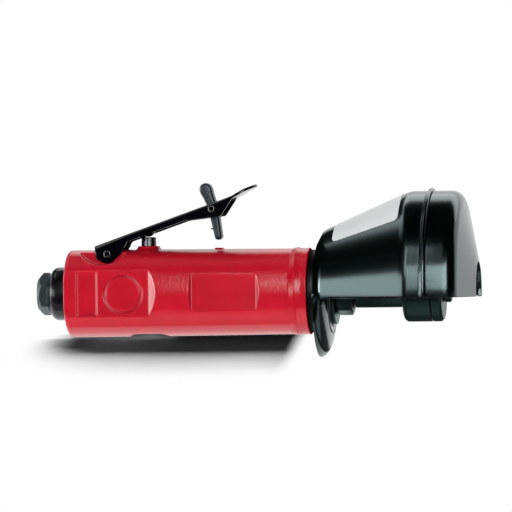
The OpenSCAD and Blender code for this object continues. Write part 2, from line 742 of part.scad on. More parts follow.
spring_path = [for (i = [0:8 * spring_curls])
    concat(polar(spring_r, i * 45), spring_low + (spring_high - spring_low) * i / (8 * spring_curls))];
module throttle_spring() {
    color([0.6, 0.6, 0.62]) translate([x_valve, 0, 0]) tube(spring_path, spring_wire, [0, 0, 1]);
}
module regulator_screw() {
    color([0.55, 0.55, 0.56]) translate([x_valve, 0, 0]) difference() {
        union() {
            rod_z(z_regulator, z_post, lower_r - run_gap);
            rod_z(z_post - cut, z_post + post_len, post_d / 2);
        }
        translate([-lower_d, -slot_w / 2, z_regulator - cut])
            cube([2 * lower_d, slot_w, slot_depth + cut]);
        translate([0, 0, z_regulator + regulator_t * foot_share - seal_t])
            ring_z(0, seal_t, lower_r + cut, lower_r - seal_t);
    }
}
module regulator_seal() {
    color([0.05, 0.05, 0.05])
        translate([x_valve, 0, z_regulator + regulator_t * foot_share - seal_t / 2])
            rotate_extrude() translate([lower_r - seal_t / 2, 0]) circle(r = seal_t / 2 - fit_gap);
}
module regulator_clip() {
    color([0.45, 0.45, 0.46]) translate([x_valve, 0, 0]) difference() {
        ring_z(z_recess + fit_gap, z_recess + clip_t, lower_r + clip_depth - fit_gap,
            lower_r + clip_depth - clip_w);
        translate([0, -slot_w, z_recess - cut]) cube([lower_d, 2 * slot_w, clip_t + 2 * cut]);
    }
}

module rear_end_plate() {
    pocket = x_motor + rear_bearing_w + fit_gap;
    color([0.42, 0.42, 0.44]) difference() {
        rod_x(x_motor + fit_gap, x_cylinder, motor_r - fit_gap);
        rod_x(x_motor - cut, pocket, rear_bearing_od / 2 + fit_gap);
        rod_x(x_motor - cut, x_cylinder + cut, rear_bearing_bore / 2 + rear_shaft_clear);
        translate([0, 0, feed_z]) rod_x(x_motor - cut, x_cylinder + cut, air_r);
        intersection() {
            ring_x(x_motor - cut, x_motor + rear_plate_t * groove_shares[0], motor_r * foot_share,
                port_at - port_r);
            translate([x_motor - 2 * cut, -motor_r, -2 * motor_r])
                cube([rear_plate_t, motor_d, 2 * motor_r]);
        }
        exhaust_slot(x_motor - cut, x_cylinder + cut);
        dowel(x_motor + rear_plate_t * half_share, x_cylinder + cut, dowel_r + fit_gap);
    }
}
// The slot along the underside that leads the exhaust to the rear
module exhaust_slot(x0, x1) {
    translate([x0, -motor_r * groove_shares[0], -motor_r - cut])
        cube([x1 - x0, motor_d * groove_shares[0], cut + motor_r * (1 - foot_share)]);
}
module dowel(x0, x1, r) {
    rotate([dowel_turn, 0, 0]) translate([0, 0, (rotor_r + motor_r) / 2 + dowel_r * half_share])
        rod_x(x0, x1, r);
}
module motor_cylinder() {
    color([0.5, 0.5, 0.52]) difference() {
        rod_x(x_cylinder, x_front_plate, motor_r - fit_gap);
        translate([0, 0, -cylinder_offset])
            rod_x(x_cylinder - cut, x_front_plate + cut, cylinder_bore_r);
        translate([0, 0, feed_z]) rod_x(x_cylinder - cut, (x_cylinder + x_front_plate) / 2, air_r);
        exhaust_slot(x_cylinder - cut, x_front_plate + cut);
        for (k = [1:5])
            translate([x_cylinder + k * cylinder_len / 6 - air_r / 4, -motor_r * groove_shares[0], -motor_r])
                cube([air_r * half_share, motor_d * groove_shares[0], motor_r]);
        dowel(x_cylinder - cut, x_front_plate + cut, dowel_r + fit_gap);
    }
}
module front_end_plate() {
    pocket = x_cap - front_bearing_w - fit_gap;
    color([0.42, 0.42, 0.44]) difference() {
        rod_x(x_front_plate, x_cap, motor_r - fit_gap);
        rod_x(pocket, x_cap + cut, front_bearing_od / 2 + fit_gap);
        rod_x(x_front_plate - cut, pocket + cut, front_bearing_bore / 2 + front_shaft_clear);
        dowel(x_front_plate - cut, x_front_plate + front_plate_t * half_share, dowel_r + fit_gap);
    }
}
module motor_dowel() {
    color([0.6, 0.6, 0.62]) dowel(x_motor + rear_plate_t * half_share + fit_gap,
        x_front_plate + front_plate_t * half_share - fit_gap, dowel_r);
}
// One bearing: its race radii and its balls follow from the bore and the outside diameter
function pitch_r(bore, od) = (bore + od) / 4;
function bearing_ball(bore, od) = (od - bore) / 8;
module outer_race(x0, w, bore, od) {
    rotate([0, 90, 0]) rotate_extrude() difference() {
        translate([pitch_r(bore, od) + bearing_ball(bore, od) * half_share, x0])
            square([od / 2 - pitch_r(bore, od) - bearing_ball(bore, od) * half_share, w]);
        translate([pitch_r(bore, od), x0 + w / 2]) circle(r = bearing_ball(bore, od) + run_gap);
    }
}
module inner_race(x0, w, bore, od) {
    rotate([0, 90, 0]) rotate_extrude() difference() {
        translate([bore / 2 + fit_gap, x0])
            square([pitch_r(bore, od) - bearing_ball(bore, od) * half_share - bore / 2 - fit_gap, w]);
        translate([pitch_r(bore, od), x0 + w / 2]) circle(r = bearing_ball(bore, od) + run_gap);
    }
}
module race_balls(x0, w, bore, od) {
    for (k = [0:balls - 1]) rotate([k * 360 / balls, 0, 0])
        translate([x0 + w / 2, 0, pitch_r(bore, od)]) sphere(r = bearing_ball(bore, od));
}
module rear_bearing_outer() {
    color([0.66, 0.67, 0.69])
        outer_race(x_motor + fit_gap, rear_bearing_w - fit_gap, rear_bearing_bore, rear_bearing_od);
}
module rear_bearing_inner() {
    color([0.66, 0.67, 0.69])
        inner_race(x_motor + fit_gap, rear_bearing_w - fit_gap, rear_bearing_bore, rear_bearing_od);
}
module rear_bearing_balls() {
    color([0.8, 0.8, 0.82])
        race_balls(x_motor + fit_gap, rear_bearing_w - fit_gap, rear_bearing_bore, rear_bearing_od);
}
module front_bearing_outer() {
    color([0.66, 0.67, 0.69])
        outer_race(x_cap - front_bearing_w, front_bearing_w, front_bearing_bore, front_bearing_od);
}
module front_bearing_inner() {
    color([0.66, 0.67, 0.69])
        inner_race(x_cap - front_bearing_w, front_bearing_w, front_bearing_bore, front_bearing_od);
}
module front_bearing_balls() {
    color([0.8, 0.8, 0.82])
        race_balls(x_cap - front_bearing_w, front_bearing_w, front_bearing_bore, front_bearing_od);
}

slot_floor = rotor_r - vane_w - vane_floor;
module rotor() {
    shoulder_r = front_bearing_bore / 2 + front_step;
    color([0.55, 0.55, 0.57]) difference() {
        union() {
            rod_x(x_cylinder + rotor_side, x_front_plate - rotor_side, rotor_r);
            rod_x(x_motor + free_gap, x_cylinder + cut, rear_bearing_bore / 2);
            rod_x(x_motor + rear_bearing_w + fit_gap, x_cylinder + cut, rear_bearing_bore / 2 + rear_step);
            rod_x(x_front_plate - cut, x_cap - front_bearing_w - fit_gap, shoulder_r);
            rod_x(x_front_plate - cut, x_cap, front_bearing_bore / 2);
            rod_x(x_cap - cut, x_cap + cap_thread_len + shoulder_len, rotor_thread_r);
        }
        for (k = [0:vanes - 1]) rotate([k * 360 / vanes, 0, 0])
            translate([x_cylinder - cut, -vane_t / 2 - vane_clear, slot_floor])
                cube([cylinder_len + 2 * cut, vane_t + 2 * vane_clear, rotor_r]);
    }
}
rotor_thread_r = front_bearing_bore / 2 - thread_step;
module rotor_vanes() {
    color([0.4, 0.27, 0.14]) for (k = [0:vanes - 1]) rotate([k * 360 / vanes, 0, 0])
        translate([x_cylinder + rotor_side, -vane_t / 2, slot_floor + vane_floor])
            cube([cylinder_len - 2 * rotor_side, vane_t, vane_w]);
}
module front_cap() {
    recess_r = front_bearing_od / 2 - cap_ledge;
    color([0.06, 0.06, 0.065]) difference() {
        union() {
            rod_x(x_cap + fit_gap, x_front + fit_gap, motor_r - fit_gap);
            rod_x(x_front + fit_gap, x_shoulder, cap_flange_d / 2);
            rod_x(x_shoulder, x_seat - fit_gap, shoulder_d / 2);
            rod_x(x_shoulder, x_nose, nose_r);
        }
        rod_x(x_cap - cut, x_cap + cap_thread_len / 4, recess_r);
        rod_x(x_cap - cut, x_nose + cut, neck_bore);
    }
}
module spindle() {
    neck_r = spindle_neck_d / 2;
    color([0.62, 0.62, 0.64]) difference() {
        union() {
            rod_x(x_cap + fit_gap, x_inner - cut, neck_r);
            rod_x(x_nose + nose_proud, x_inner - fit_gap, spindle_d / 2);
            rod_x(x_inner - cut, x_inner + spigot_len, neck_r);
        }
        rod_x(x_cap - cut, x_cap + cap_thread_len + shoulder_len + cut, rotor_thread_r + fit_gap);
        rod_x(x_inner + spigot_len - screw_grip - cut, x_inner + spigot_len + cut, screw_d / 2 + fit_gap);
    }
}
module inner_flange() {
    path = [[0, x_inner], [flange_r, x_inner], [flange_r, 0], [0, 0]];
    color([0.1, 0.1, 0.11]) difference() {
        turned(rounded(path, [0, inner_flange_round, rim_chamfer, 0], arc_steps));
        rod_x(x_inner - cut, x_inner + spigot_len + fit_gap, spindle_neck_d / 2 + fit_gap);
        rod_x(x_inner - cut, cut, screw_d / 2 + free_gap);
    }
}
module outer_flange() {
    color([0.1, 0.1, 0.11]) difference() {
        union() {
            turned([[0, wheel_gap], [flange_r, wheel_gap], [flange_r, x_outer - flange_chamfer],
                [flange_r - flange_chamfer, x_outer], [0, x_outer]]);
            rod_x(fit_gap, wheel_gap + rim_chamfer, pilot_d / 2);
        }
        rod_x(-cut, x_outer + cut, screw_d / 2 + free_gap);
    }
}
module arbor_screw() {
    color([0.2, 0.2, 0.21]) union() {
        hex_x(x_outer + fit_gap, x_outer + fit_gap + screw_head_h, screw_af, screw_turn);
        rod_x(x_inner + spigot_len - screw_grip, x_outer + cut, screw_d / 2);
    }
}
module guard_washer() {
    color([0.08, 0.08, 0.085])
        ring_x(x_washer + fit_gap, x_nut - fit_gap, washer_d / 2, nose_r + fit_gap);
}
module guard_nut() {
    color([0.09, 0.09, 0.095]) difference() {
        hex_x(x_nut, x_nut + nut_t, nut_af, nut_turn);
        rod_x(x_nut - cut, x_nut + nut_t + cut, nose_r + fit_gap);
    }
}

// The guard's middle surface as radius and x, for the upper half, the lower lip and the front
guard_mid = guard_r - guard_wall / 2;
guard_hole = nose_r + run_gap;
seat_mid = x_seat + guard_wall / 2;
upper_path = rounded([[guard_hole, seat_mid], [guard_seat_r, seat_mid],
    [guard_lip_r, x_seat - guard_lip_back], [hood_r, x_seat - hood_back],
    [guard_mid, wheel_gap - drum_back], [guard_mid, wheel_gap]],
    [0, lip_round, lip_round, hood_round, drum_round, 0], arc_steps);
lower_path = concat([[guard_hole, seat_mid]], [for (i = [0:arc_steps])
    [guard_seat_r + (rim_r - guard_seat_r) * sin(90 * i / arc_steps),
        x_seat - rim_back + (seat_mid - x_seat + rim_back) * cos(90 * i / arc_steps)]]);
front_path = rounded([[guard_mid, wheel_gap], [guard_mid, wheel_gap + drum_front],
    [front_hole_r, wheel_gap + drum_front + front_rise]], [0, shoulder_round, 0], arc_steps);
guard_span = guard_r + bead_h + cut;
// Keeps what lies above the guard's cut edge
module upper_half() {
    intersection() {
        children();
        translate([-2 * guard_span, -guard_span, -guard_drop])
            cube([4 * guard_span, 2 * guard_span, guard_span + guard_drop]);
    }
}
module guard_rear_shell() {
    color([0.05, 0.055, 0.06]) union() {
        upper_half() union() {
            turned(skin(upper_path, guard_wall));
            ring_x(wheel_gap - bead_w, wheel_gap, guard_r + bead_h, guard_r - guard_wall * half_share);
        }
        intersection() {
            turned(skin(lower_path, guard_wall));
            translate([-2 * guard_span, -guard_span, -guard_span - guard_drop])
                cube([4 * guard_span, 2 * guard_span, guard_span]);
        }
        ring_x(x_seat, x_seat + guard_seat_t, guard_seat_r, guard_hole);
    }
}
module guard_front_shell() {
    color([0.05, 0.055, 0.06]) translate([fit_gap, 0, 0]) upper_half()
        turned(skin(front_path, guard_wall));
}

// The outline of the lever's sides, of u and n, and the room inside the channel
tip_u = bend_at + tip_len * cos(tip_bend);
tip_n = web_top + tip_len * sin(tip_bend);
lever_side = concat([[-heel, web_top], [-heel, 0]],
    arc([0, 0], ear_r, 190, 320, arc_steps),
    [[ear_front, web_top - side_depth], [cheek_start, web_top - side_depth],
    [cheek_low, web_top - cheek_depth], [bend_at, web_top - tip_depth],
    [tip_u, tip_n - tip_depth], [tip_u, tip_n], [bend_at, web_top]]);
lever_room = [[-heel - cut, web_low], [-heel - cut, -lever_w], [tip_u + cut, -lever_w],
    [tip_u + cut, tip_n - sheet_t + cut * tan(tip_bend)], [bend_at, web_low]];
// The lever from above: a strip of width w with a round end
module lever_plan(w, rear) {
    middle = tip_u - lever_w / 2;
    translate([0, 0, -lever_w]) linear_extrude(height = 2 * lever_w) union() {
        translate([-heel - rear, -w / 2]) square([middle + heel + rear, w]);
        translate([middle, 0]) circle(r = w / 2);
    }
}
module throttle_lever() {
    inner_w = lever_w - 2 * sheet_t;
    color([0.06, 0.06, 0.065]) lever_axes() difference() {
        union() {
            difference() {
                intersection() {
                    slab(2 * lever_w) polygon(lever_side);
                    lever_plan(lever_w, cut);
                }
                intersection() {
                    slab(2 * lever_w) polygon(lever_room);
                    lever_plan(inner_w, 2 * cut);
                }
            }
            translate([dimple_u, 0, dimple_n]) intersection() {
                sphere(r = dimple_r);
                rod_z(-dimple_r - cut, web_low - dimple_n + sheet_t * half_share, dimple_r + cut);
            }
        }
        rod_y(-lever_w, lever_w, pin_r + run_gap);
        translate([latch_at, 0, latch_n]) {
            rod_y(-lever_w, lever_w, latch_pin_r + fit_gap);
            rod_y(coil_y1 - latch_wire - coil_gap, coil_y0 + latch_wire + run_gap,
                latch_spring_r + latch_wire + coil_gap);
        }
        translate([latch_at - slot_back, -latch_w / 2 - slot_side, web_low - cut])
            cube([slot_back + slot_ahead, latch_w + 2 * slot_side, sheet_t + 2 * cut]);
    }
}
module latch_pin() {
    reach = lever_w / 2 + pin_proud;
    color([0.4, 0.4, 0.42]) lever_axes() translate([latch_at, 0, latch_n]) rod_y(-reach, reach, latch_pin_r);
}
// A bar with round ends of two sizes, from a to b
function bar(a, ra, b, rb, n) = let (d = b - a, t = atan2(d[1], d[0]), s = asin((ra - rb) / norm(d)))
    concat(arc(a, ra, t + 90 - s, t + 270 + s, n), arc(b, rb, t - 90 + s, t + 90 - s, n));
module lock_latch() {
    hub = [latch_at, latch_n];
    color([0.13, 0.15, 0.19]) lever_axes() difference() {
        slab(latch_w) union() {
            polygon(bar(hub, neck_r, hub + polar(knob_at * half_share, knob_turn),
                neck_r * foot_share, 2 * arc_steps));
            polygon(bar(hub + polar(knob_at - knob_r * groove_shares[1], knob_turn), knob_r * foot_share,
                hub + polar(knob_at, knob_turn), knob_r, 2 * arc_steps));
            polygon(bar(hub, neck_r, hub + polar(leg_len, leg_turn), foot_r, 2 * arc_steps));
        }
        translate([latch_at, 0, latch_n]) rod_y(-lever_w, lever_w, latch_pin_r + run_gap);
    }
}
// The latch spring: a leg under the web, the curls round the pin, and a hook behind the latch's leg
coil_y0 = lever_w / 2 - sheet_t - latch_wire - coil_gap;
coil_y1 = latch_w / 2 + latch_wire + coil_gap;
hook_back = neck_r + (foot_r - neck_r) * hook_at / leg_len + latch_wire + hook_gap;
function spring_point(u, y, n) = [latch_at + u, y, latch_n + n];
coil_end = leg_turn - 180 * half_share;
coil_start = coil_end - 360 * latch_curls;
latch_spring_path = concat(
    [let (p = polar(latch_spring_r, coil_start)) spring_point(p[0] - hook_at, coil_y0, p[1])],
    [for (i = [0:8 * latch_curls]) let (p = polar(latch_spring_r, coil_start + i * 45))
        spring_point(p[0], coil_y0 + (coil_y1 - coil_y0) * i / (8 * latch_curls), p[1])],
    [let (p = polar(hook_at, leg_turn) + polar(hook_back, coil_end)) spring_point(p[0], coil_y1, p[1])],
    [let (p = polar(hook_at, leg_turn) + polar(hook_back, coil_end))
        spring_point(p[0], -latch_w / 2 - latch_wire, p[1])]);
module latch_spring() {
    color([0.5, 0.5, 0.52]) lever_axes() tube(latch_spring_path, latch_wire, unit([0.3, 1, 0.2]));
}
echo(throttle_spring_gap = least_gap(spring_path, 8, spring_wire));
echo(latch_spring_gap = least_gap([for (i = [1:8 * latch_curls + 1]) latch_spring_path[i]], 8, latch_wire));

housing();
inlet_bushing();
inlet_screen();
inlet_seal();
exhaust_collar();
muffler_ring();
lever_pin();
stem_bush();
valve_seat();
regulator_clip();
regulator_seal();
rear_end_plate();
motor_cylinder();
front_end_plate();
motor_dowel();
rear_bearing_outer();
front_bearing_outer();
front_cap();
guard_washer();
guard_nut();
regulator_screw();
valve_stem();
valve_ball();
throttle_spring();
throttle_lever();
latch_pin();
lock_latch();
latch_spring();
rotor();
rotor_vanes();
rear_bearing_inner();
rear_bearing_balls();
front_bearing_inner();
front_bearing_balls();
spindle();
inner_flange();
outer_flange();
arbor_screw();
guard_rear_shell();
guard_front_shell();
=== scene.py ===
"""Dresses a straight pneumatic cut-off tool: a red cast handle, a lever throttle and a black half guard.

Sizes are in millimetres and places come from the frame's own boxes. A solid is scaled to metres when it
becomes a piece. +X runs from the handle to the wheel and +Z up to the throttle lever.
"""

from __future__ import annotations

import json
import logging
import math
from dataclasses import dataclass
from enum import Enum, IntEnum
from typing import Any, ClassVar, Sequence

import bmesh
import bpy
from mathutils import Matrix, Vector

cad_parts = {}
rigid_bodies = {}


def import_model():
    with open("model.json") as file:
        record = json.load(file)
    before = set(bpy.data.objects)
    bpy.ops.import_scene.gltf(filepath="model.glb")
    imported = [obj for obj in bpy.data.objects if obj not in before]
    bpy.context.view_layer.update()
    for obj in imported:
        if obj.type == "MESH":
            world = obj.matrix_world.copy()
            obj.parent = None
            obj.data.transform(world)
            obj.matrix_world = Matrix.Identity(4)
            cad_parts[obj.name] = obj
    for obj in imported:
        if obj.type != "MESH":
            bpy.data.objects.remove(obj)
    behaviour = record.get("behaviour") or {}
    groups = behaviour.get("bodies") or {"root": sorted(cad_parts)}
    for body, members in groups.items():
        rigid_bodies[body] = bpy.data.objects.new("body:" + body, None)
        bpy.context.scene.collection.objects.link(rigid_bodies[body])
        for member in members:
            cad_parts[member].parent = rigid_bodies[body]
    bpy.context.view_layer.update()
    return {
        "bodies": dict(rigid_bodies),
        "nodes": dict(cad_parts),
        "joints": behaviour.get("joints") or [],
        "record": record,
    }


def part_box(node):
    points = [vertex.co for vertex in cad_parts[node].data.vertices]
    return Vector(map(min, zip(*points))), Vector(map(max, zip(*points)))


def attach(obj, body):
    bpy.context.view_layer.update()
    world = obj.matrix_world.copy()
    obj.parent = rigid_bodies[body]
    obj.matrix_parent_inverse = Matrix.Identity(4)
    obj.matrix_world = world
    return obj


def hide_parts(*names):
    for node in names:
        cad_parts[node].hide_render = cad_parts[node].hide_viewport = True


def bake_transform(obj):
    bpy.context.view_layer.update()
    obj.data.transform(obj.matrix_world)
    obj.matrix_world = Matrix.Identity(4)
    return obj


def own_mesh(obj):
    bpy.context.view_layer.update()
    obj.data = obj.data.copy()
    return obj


MM = 0.001
MERGE_GAP = 1e-4
WIRE_GAP = 1e-5
CORNER_PAST = 0.62
Point = tuple[float, float]
Outline = list[Point]
Colour = tuple[float, float, float]
Place = tuple[float, float, float]
Ease = tuple[float, int, int]
log = logging.getLogger("cut_off_tool")


class Body(str, Enum):
    """The bodies of the frame that pieces ride on."""

    HANDLE = "handle"
    LEVER = "lever"
    LATCH = "latch"
    VALVE = "valve"
    REGULATOR = "regulator"
    SPINDLE = "spindle_group"
    GUARD = "guard"


class Work(Enum):
    """How one solid works on another."""

    CUT = "DIFFERENCE"
    JOIN = "UNION"
    COMMON = "INTERSECT"


class Sides(IntEnum):
    """How many sides a round shape has, by what it is."""

    HOLE = 32
    PIN = 48
    STEM = 64
    BORE = 96
    NECK = 128
    SCOOP = 160
    RING = 192
    SHELL = 256
    CASTING = 360


# Outlines in a plane


def polar(centre: Point, radius: float, degrees: float) -> Point:
    """The point at an angle round a centre."""
    turn = math.radians(degrees)
    return centre[0] + radius * math.cos(turn), centre[1] + radius * math.sin(turn)


def arc(centre: Point, radius: float, start: float, end: float, steps: int) -> Outline:
    """Points along an arc, with both ends."""
    return [polar(centre, radius, start + (end - start) * i / steps) for i in range(steps + 1)]


def rounded(path: Sequence[Point], radii: Sequence[float], steps: int = 6) -> Outline:
    """Rounds the corners of an open path.

    Args:
        path: The corners, in order.
        radii: The rounding of each corner; the first and last are kept sharp.
        steps: Steps along each rounding.

    Returns:
        The path with an arc in place of each rounded corner.
    """
    made: Outline = []
    for i, (point, radius) in enumerate(zip(path, radii)):
        if radius <= 0 or i in (0, len(path) - 1):
            made.append(point)
            continue
        here = Vector(point)
        back = (Vector(path[i - 1]) - here).normalized()
        ahead = (Vector(path[i + 1]) - here).normalized()
        half = back.angle(ahead) / 2
        middle = here + (back + ahead).normalized() * radius / math.sin(half)
        first = here + back * radius / math.tan(half) - middle
        last = here + ahead * radius / math.tan(half) - middle
        turn = first.angle_signed(last)
        for k in range(steps + 1):
            made.append(tuple(middle + Matrix.Rotation(-turn * k / steps, 2) @ first))
    return made


def offset(path: Sequence[Point], distance: float) -> Outline:
    """A path moved to its left by a distance.

    Args:
        path: The points, in order.
        distance: How far it moves; below 0 moves it right.

    Returns:
        The moved path.
    """
    made: Outline = []
    for i, point in enumerate(path):
        before = Vector(path[max(i - 1, 0)])
        after = Vector(path[min(i + 1, len(path) - 1)])
        here = Vector(point)
        first = (here - before if i else after - here).normalized()
        last = (after - here if i < len(path) - 1 else here - before).normalized()
        left = (Vector((-first.y, first.x)) + Vector((-last.y, last.x))).normalized()
        reach = distance / max(left.dot(Vector((-first.y, first.x))), 0.3)
        made.append((point[0] + left.x * reach, point[1] + left.y * reach))
    return made


def skin(path: Sequence[Point], wall: float) -> Outline:
    """The closed outline of a sheet whose middle follows a path."""
    return offset(path, wall / 2) + offset(path, -wall / 2)[::-1]


def height_at(path: Sequence[Point], along: float) -> float:
    """The second value of a path where its first value is given, which never turns back.

    Args:
        path: The points, in the order of their first value.
        along: The first value that is looked up.

    Returns:
        The second value there, or that of the nearer end.
    """
    for (u0, n0), (u1, n1) in zip(path, path[1:]):
        if u0 <= along <= u1 and u1 > u0:
            return n0 + (n1 - n0) * (along - u0) / (u1 - u0)
    return path[0][1] if along < path[0][0] else path[-1][1]


def helix(radius: float, pitch: float, per_turn: int, steps: int) -> list[Place]:
    """Points along a helix: the way along its axis, and the place round it."""
    return [(pitch * i / per_turn, *polar((0, 0), radius, 360 * i / per_turn)) for i in range(steps)]


def eased(value: float, start: float, end: float) -> float:
    """A smooth step from 0 at start to 1 at end."""
    share = min(max((value - start) / (end - start), 0.0), 1.0)
    return share * share * (3 - 2 * share)


def added(name: str, data: bpy.types.ID) -> bpy.types.Object:
    """A new object in the scene.

    Args:
        name: The object's name.
        data: Its mesh, camera or light.

    Returns:
        The object.
    """
    made = bpy.data.objects.new(name, data)
    bpy.context.scene.collection.objects.link(made)
    return made


class Solid:
    """A closed mesh in millimetres that can be cut, joined and softened."""

    def __init__(self, mesh: bpy.types.Mesh) -> None:
        """Takes over a mesh."""
        self.mesh = mesh

    @classmethod
    def of(cls, points: Sequence[Sequence[float]], faces: Sequence[Sequence[int]]) -> Solid:
        """Builds a solid from points and faces, merges its doubles and turns its faces outwards.

        Args:
            points: The points.
            faces: The faces, as numbers of points.

        Returns:
            The solid.
        """
        work = bmesh.new()
        corners = [work.verts.new(point) for point in points]
        for face in faces:
            work.faces.new([corners[i] for i in face])
        return cls.sealed(work, bpy.data.meshes.new("solid"), MERGE_GAP)

    @classmethod
    def sealed(cls, work: bmesh.types.BMesh, mesh: bpy.types.Mesh, gap: float) -> Solid:
        """Merges the doubles of a work mesh, turns its faces outwards and writes it to a mesh.

        Args:
            work: The work mesh, which is freed.
            mesh: The mesh that is written.
            gap: The distance up to which points are doubles.

        Returns:
            The solid.
        """
        bmesh.ops.remove_doubles(work, verts=work.verts, dist=gap)
        bmesh.ops.recalc_face_normals(work, faces=work.faces)
        work.to_mesh(mesh)
        work.free()
        return cls(mesh)

    @classmethod
    def loft(cls, rings: Sequence[Sequence[Sequence[float]]], closed: bool = False) -> Solid:
        """Joins rings of equally many points.

        Args:
            rings: Closed rings of points, in order.
            closed: Whether the last ring joins the first, instead of two end faces.

        Returns:
            The solid between the rings.
        """
        size, count = len(rings[0]), len(rings)
        faces: list[tuple[int, ...]] = []
        for i in range(count if closed else count - 1):
            after = (i + 1) % count
            for k in range(size):
                right = (k + 1) % size
                faces.append((i * size + k, i * size + right, after * size + right, after * size + k))
        if not closed:
            faces += [tuple(range(size)), tuple(range((count - 1) * size, count * size))]
        return cls.of([point for ring in rings for point in ring], faces)

    @classmethod
    def spun(cls, outline: Sequence[Point], segments: int) -> Solid:
        """Turns a closed outline of x and radius about the tool's axis."""
        turns = [2 * math.pi * i / segments for i in range(segments)]
        return cls.loft([[(x, r * math.cos(t), r * math.sin(t)) for x, r in outline] for t in turns], True)

    @classmethod
    def prism(cls, outline: Sequence[Point], low: float, high: float) -> Solid:
        """Draws an outline of x and z out along y."""
        return cls.loft([[(x, y, z) for x, z in outline] for y in (low, high)])

    @classmethod
    def block(cls, low: Sequence[float], high: Sequence[float]) -> Solid:
        """A box between two corners."""
        corners = [(low[0], low[2]), (high[0], low[2]), (high[0], high[2]), (low[0], high[2])]
        return cls.prism(corners, low[1], high[1])

    @classmethod
    def rod(cls, start: Sequence[float], end: Sequence[float], radius: float, sides: int) -> Solid:
        """A round rod between two points."""
        return cls.spun([(0, 0), (0, radius), (1, radius), (1, 0)], sides).stood(start, end)

    def stood(self, start: Sequence[float], end: Sequence[float]) -> Solid:
        """Stands a solid made along x from 0 to 1 between two points.

        Args:
            start: Where its x of 0 comes to lie.
            end: Where its x of 1 comes to lie.

        Returns:
            The solid itself.
        """
        line = Vector(end) - Vector(start)
        turn = Vector((1, 0, 0)).rotation_difference(line).to_matrix().to_4x4()
        return self.moved(Matrix.Translation(start) @ turn @ Matrix.Diagonal((line.length, 1, 1, 1)))

    def moved(self, matrix: Matrix) -> Solid:
        """Moves the solid."""
        self.mesh.transform(matrix)
        return self

    @staticmethod
    def evaluated(host: bpy.types.Object) -> Solid:
        """The plain mesh of an object with its modifiers; the object is removed.

        Args:
            host: The object.

        Returns:
            Its shape as a solid.
        """
        graph = bpy.context.evaluated_depsgraph_get()
        mesh = bpy.data.meshes.new_from_object(host.evaluated_get(graph))
        bpy.data.objects.remove(host)
        return Solid(mesh)

    @staticmethod
    def hosted(mesh: bpy.types.Mesh) -> bpy.types.Object:
        """A passing object that holds a mesh in the scene."""
        return added("passing", mesh)

    def worked(self, kind: Work, *others: Solid) -> Solid:
        """Cuts, joins or keeps what is common with other solids, one after the other.

        Args:
            kind: How the others work on it.
            others: The other solids, used up.

        Returns:
            The new solid.
        """
        host = self.hosted(self.mesh)
        tools = [self.hosted(other.mesh) for other in others]
        for tool in tools:
            step = host.modifiers.new("work", "BOOLEAN")
            step.solver = "MANIFOLD"
            step.operation = kind.value
            step.object = tool
        made = self.evaluated(host)
        for tool in tools:
            bpy.data.objects.remove(tool)
        return made

    def cut(self, *others: Solid) -> Solid:
        """Takes other solids away."""
        return self.worked(Work.CUT, *others)

    def join(self, *others: Solid) -> Solid:
        """Adds other solids."""
        return self.worked(Work.JOIN, *others)

    def common(self, *others: Solid) -> Solid:
        """Keeps what lies in all of the solids."""
        return self.worked(Work.COMMON, *others)

    def softened(self, voxel: float, passes: int, limit: int) -> Solid:
        """Eases every edge, as on a casting or a coated pressing.

        Args:
            voxel: The grain of the new skin.
            passes: How often the skin is smoothed.
            limit: The most triangles that are kept.

        Returns:
            The softened solid.
        """
        host = self.hosted(self.mesh)
        grain = host.modifiers.new("grain", "REMESH")
        grain.mode = "VOXEL"
        grain.voxel_size = voxel
        ease = host.modifiers.new("ease", "SMOOTH")
        ease.factor = 0.5
        ease.iterations = passes
        made = self.evaluated(host)
        made.mesh.shade_smooth()
        triangles = sum(len(face.vertices) - 2 for face in made.mesh.polygons)
        if triangles > limit:
            dense = self.hosted(made.mesh)
            host = self.hosted(made.mesh.copy())
            host.modifiers.new("thin", "DECIMATE").ratio = limit / triangles
            keep = host.modifiers.new("normals", "DATA_TRANSFER")
            keep.object = dense
            keep.use_loop_data = True
            keep.data_types_loops = {"CUSTOM_NORMAL"}
            keep.loop_mapping = "POLYINTERP_NEAREST"
            made = self.evaluated(host)
            bpy.data.objects.remove(dense)
        return made


# Shader graphs


class Value:
    """A number socket in a shader, whose sums and products add Math nodes."""

    def __init__(self, graph: Graph, socket: bpy.types.NodeSocket) -> None:
        """Wraps an output socket of a graph."""
        self.graph = graph
        self.socket = socket

    def _math(self, operation: str, first: Any, second: Any) -> Value:
        """Adds one Math node."""
        made = self.graph.node("ShaderNodeMath", {"operation": operation}, {0: first, 1: second})
        return Value(self.graph, made.outputs[0])

    def __add__(self, other: Any) -> Value:
        """Adds."""
        return self._math("ADD", self, other)

    def __sub__(self, other: Any) -> Value:
        """Subtracts."""
        return self._math("SUBTRACT", self, other)

    def __rsub__(self, other: Any) -> Value:
        """Is subtracted."""
        return self._math("SUBTRACT", other, self)

    def __mul__(self, other: Any) -> Value:
        """Multiplies."""
        return self._math("MULTIPLY", self, other)

    def __pow__(self, other: Any) -> Value:
        """Raises to a power."""
        return self._math("POWER", self, other)

    __radd__ = __add__
    __rmul__ = __mul__

    def between(self, low: float, high: float) -> Value:
        """A smooth step from 0 at low to 1 at high.

        Args:
            low: Where the step starts.
            high: Where it ends.

        Returns:
            The step.
        """
        made = self.graph.node("ShaderNodeMapRange", {"interpolation_type": "SMOOTHSTEP"},
                               {"Value": self, "From Min": low, "From Max": high})
        return Value(self.graph, made.outputs[0])


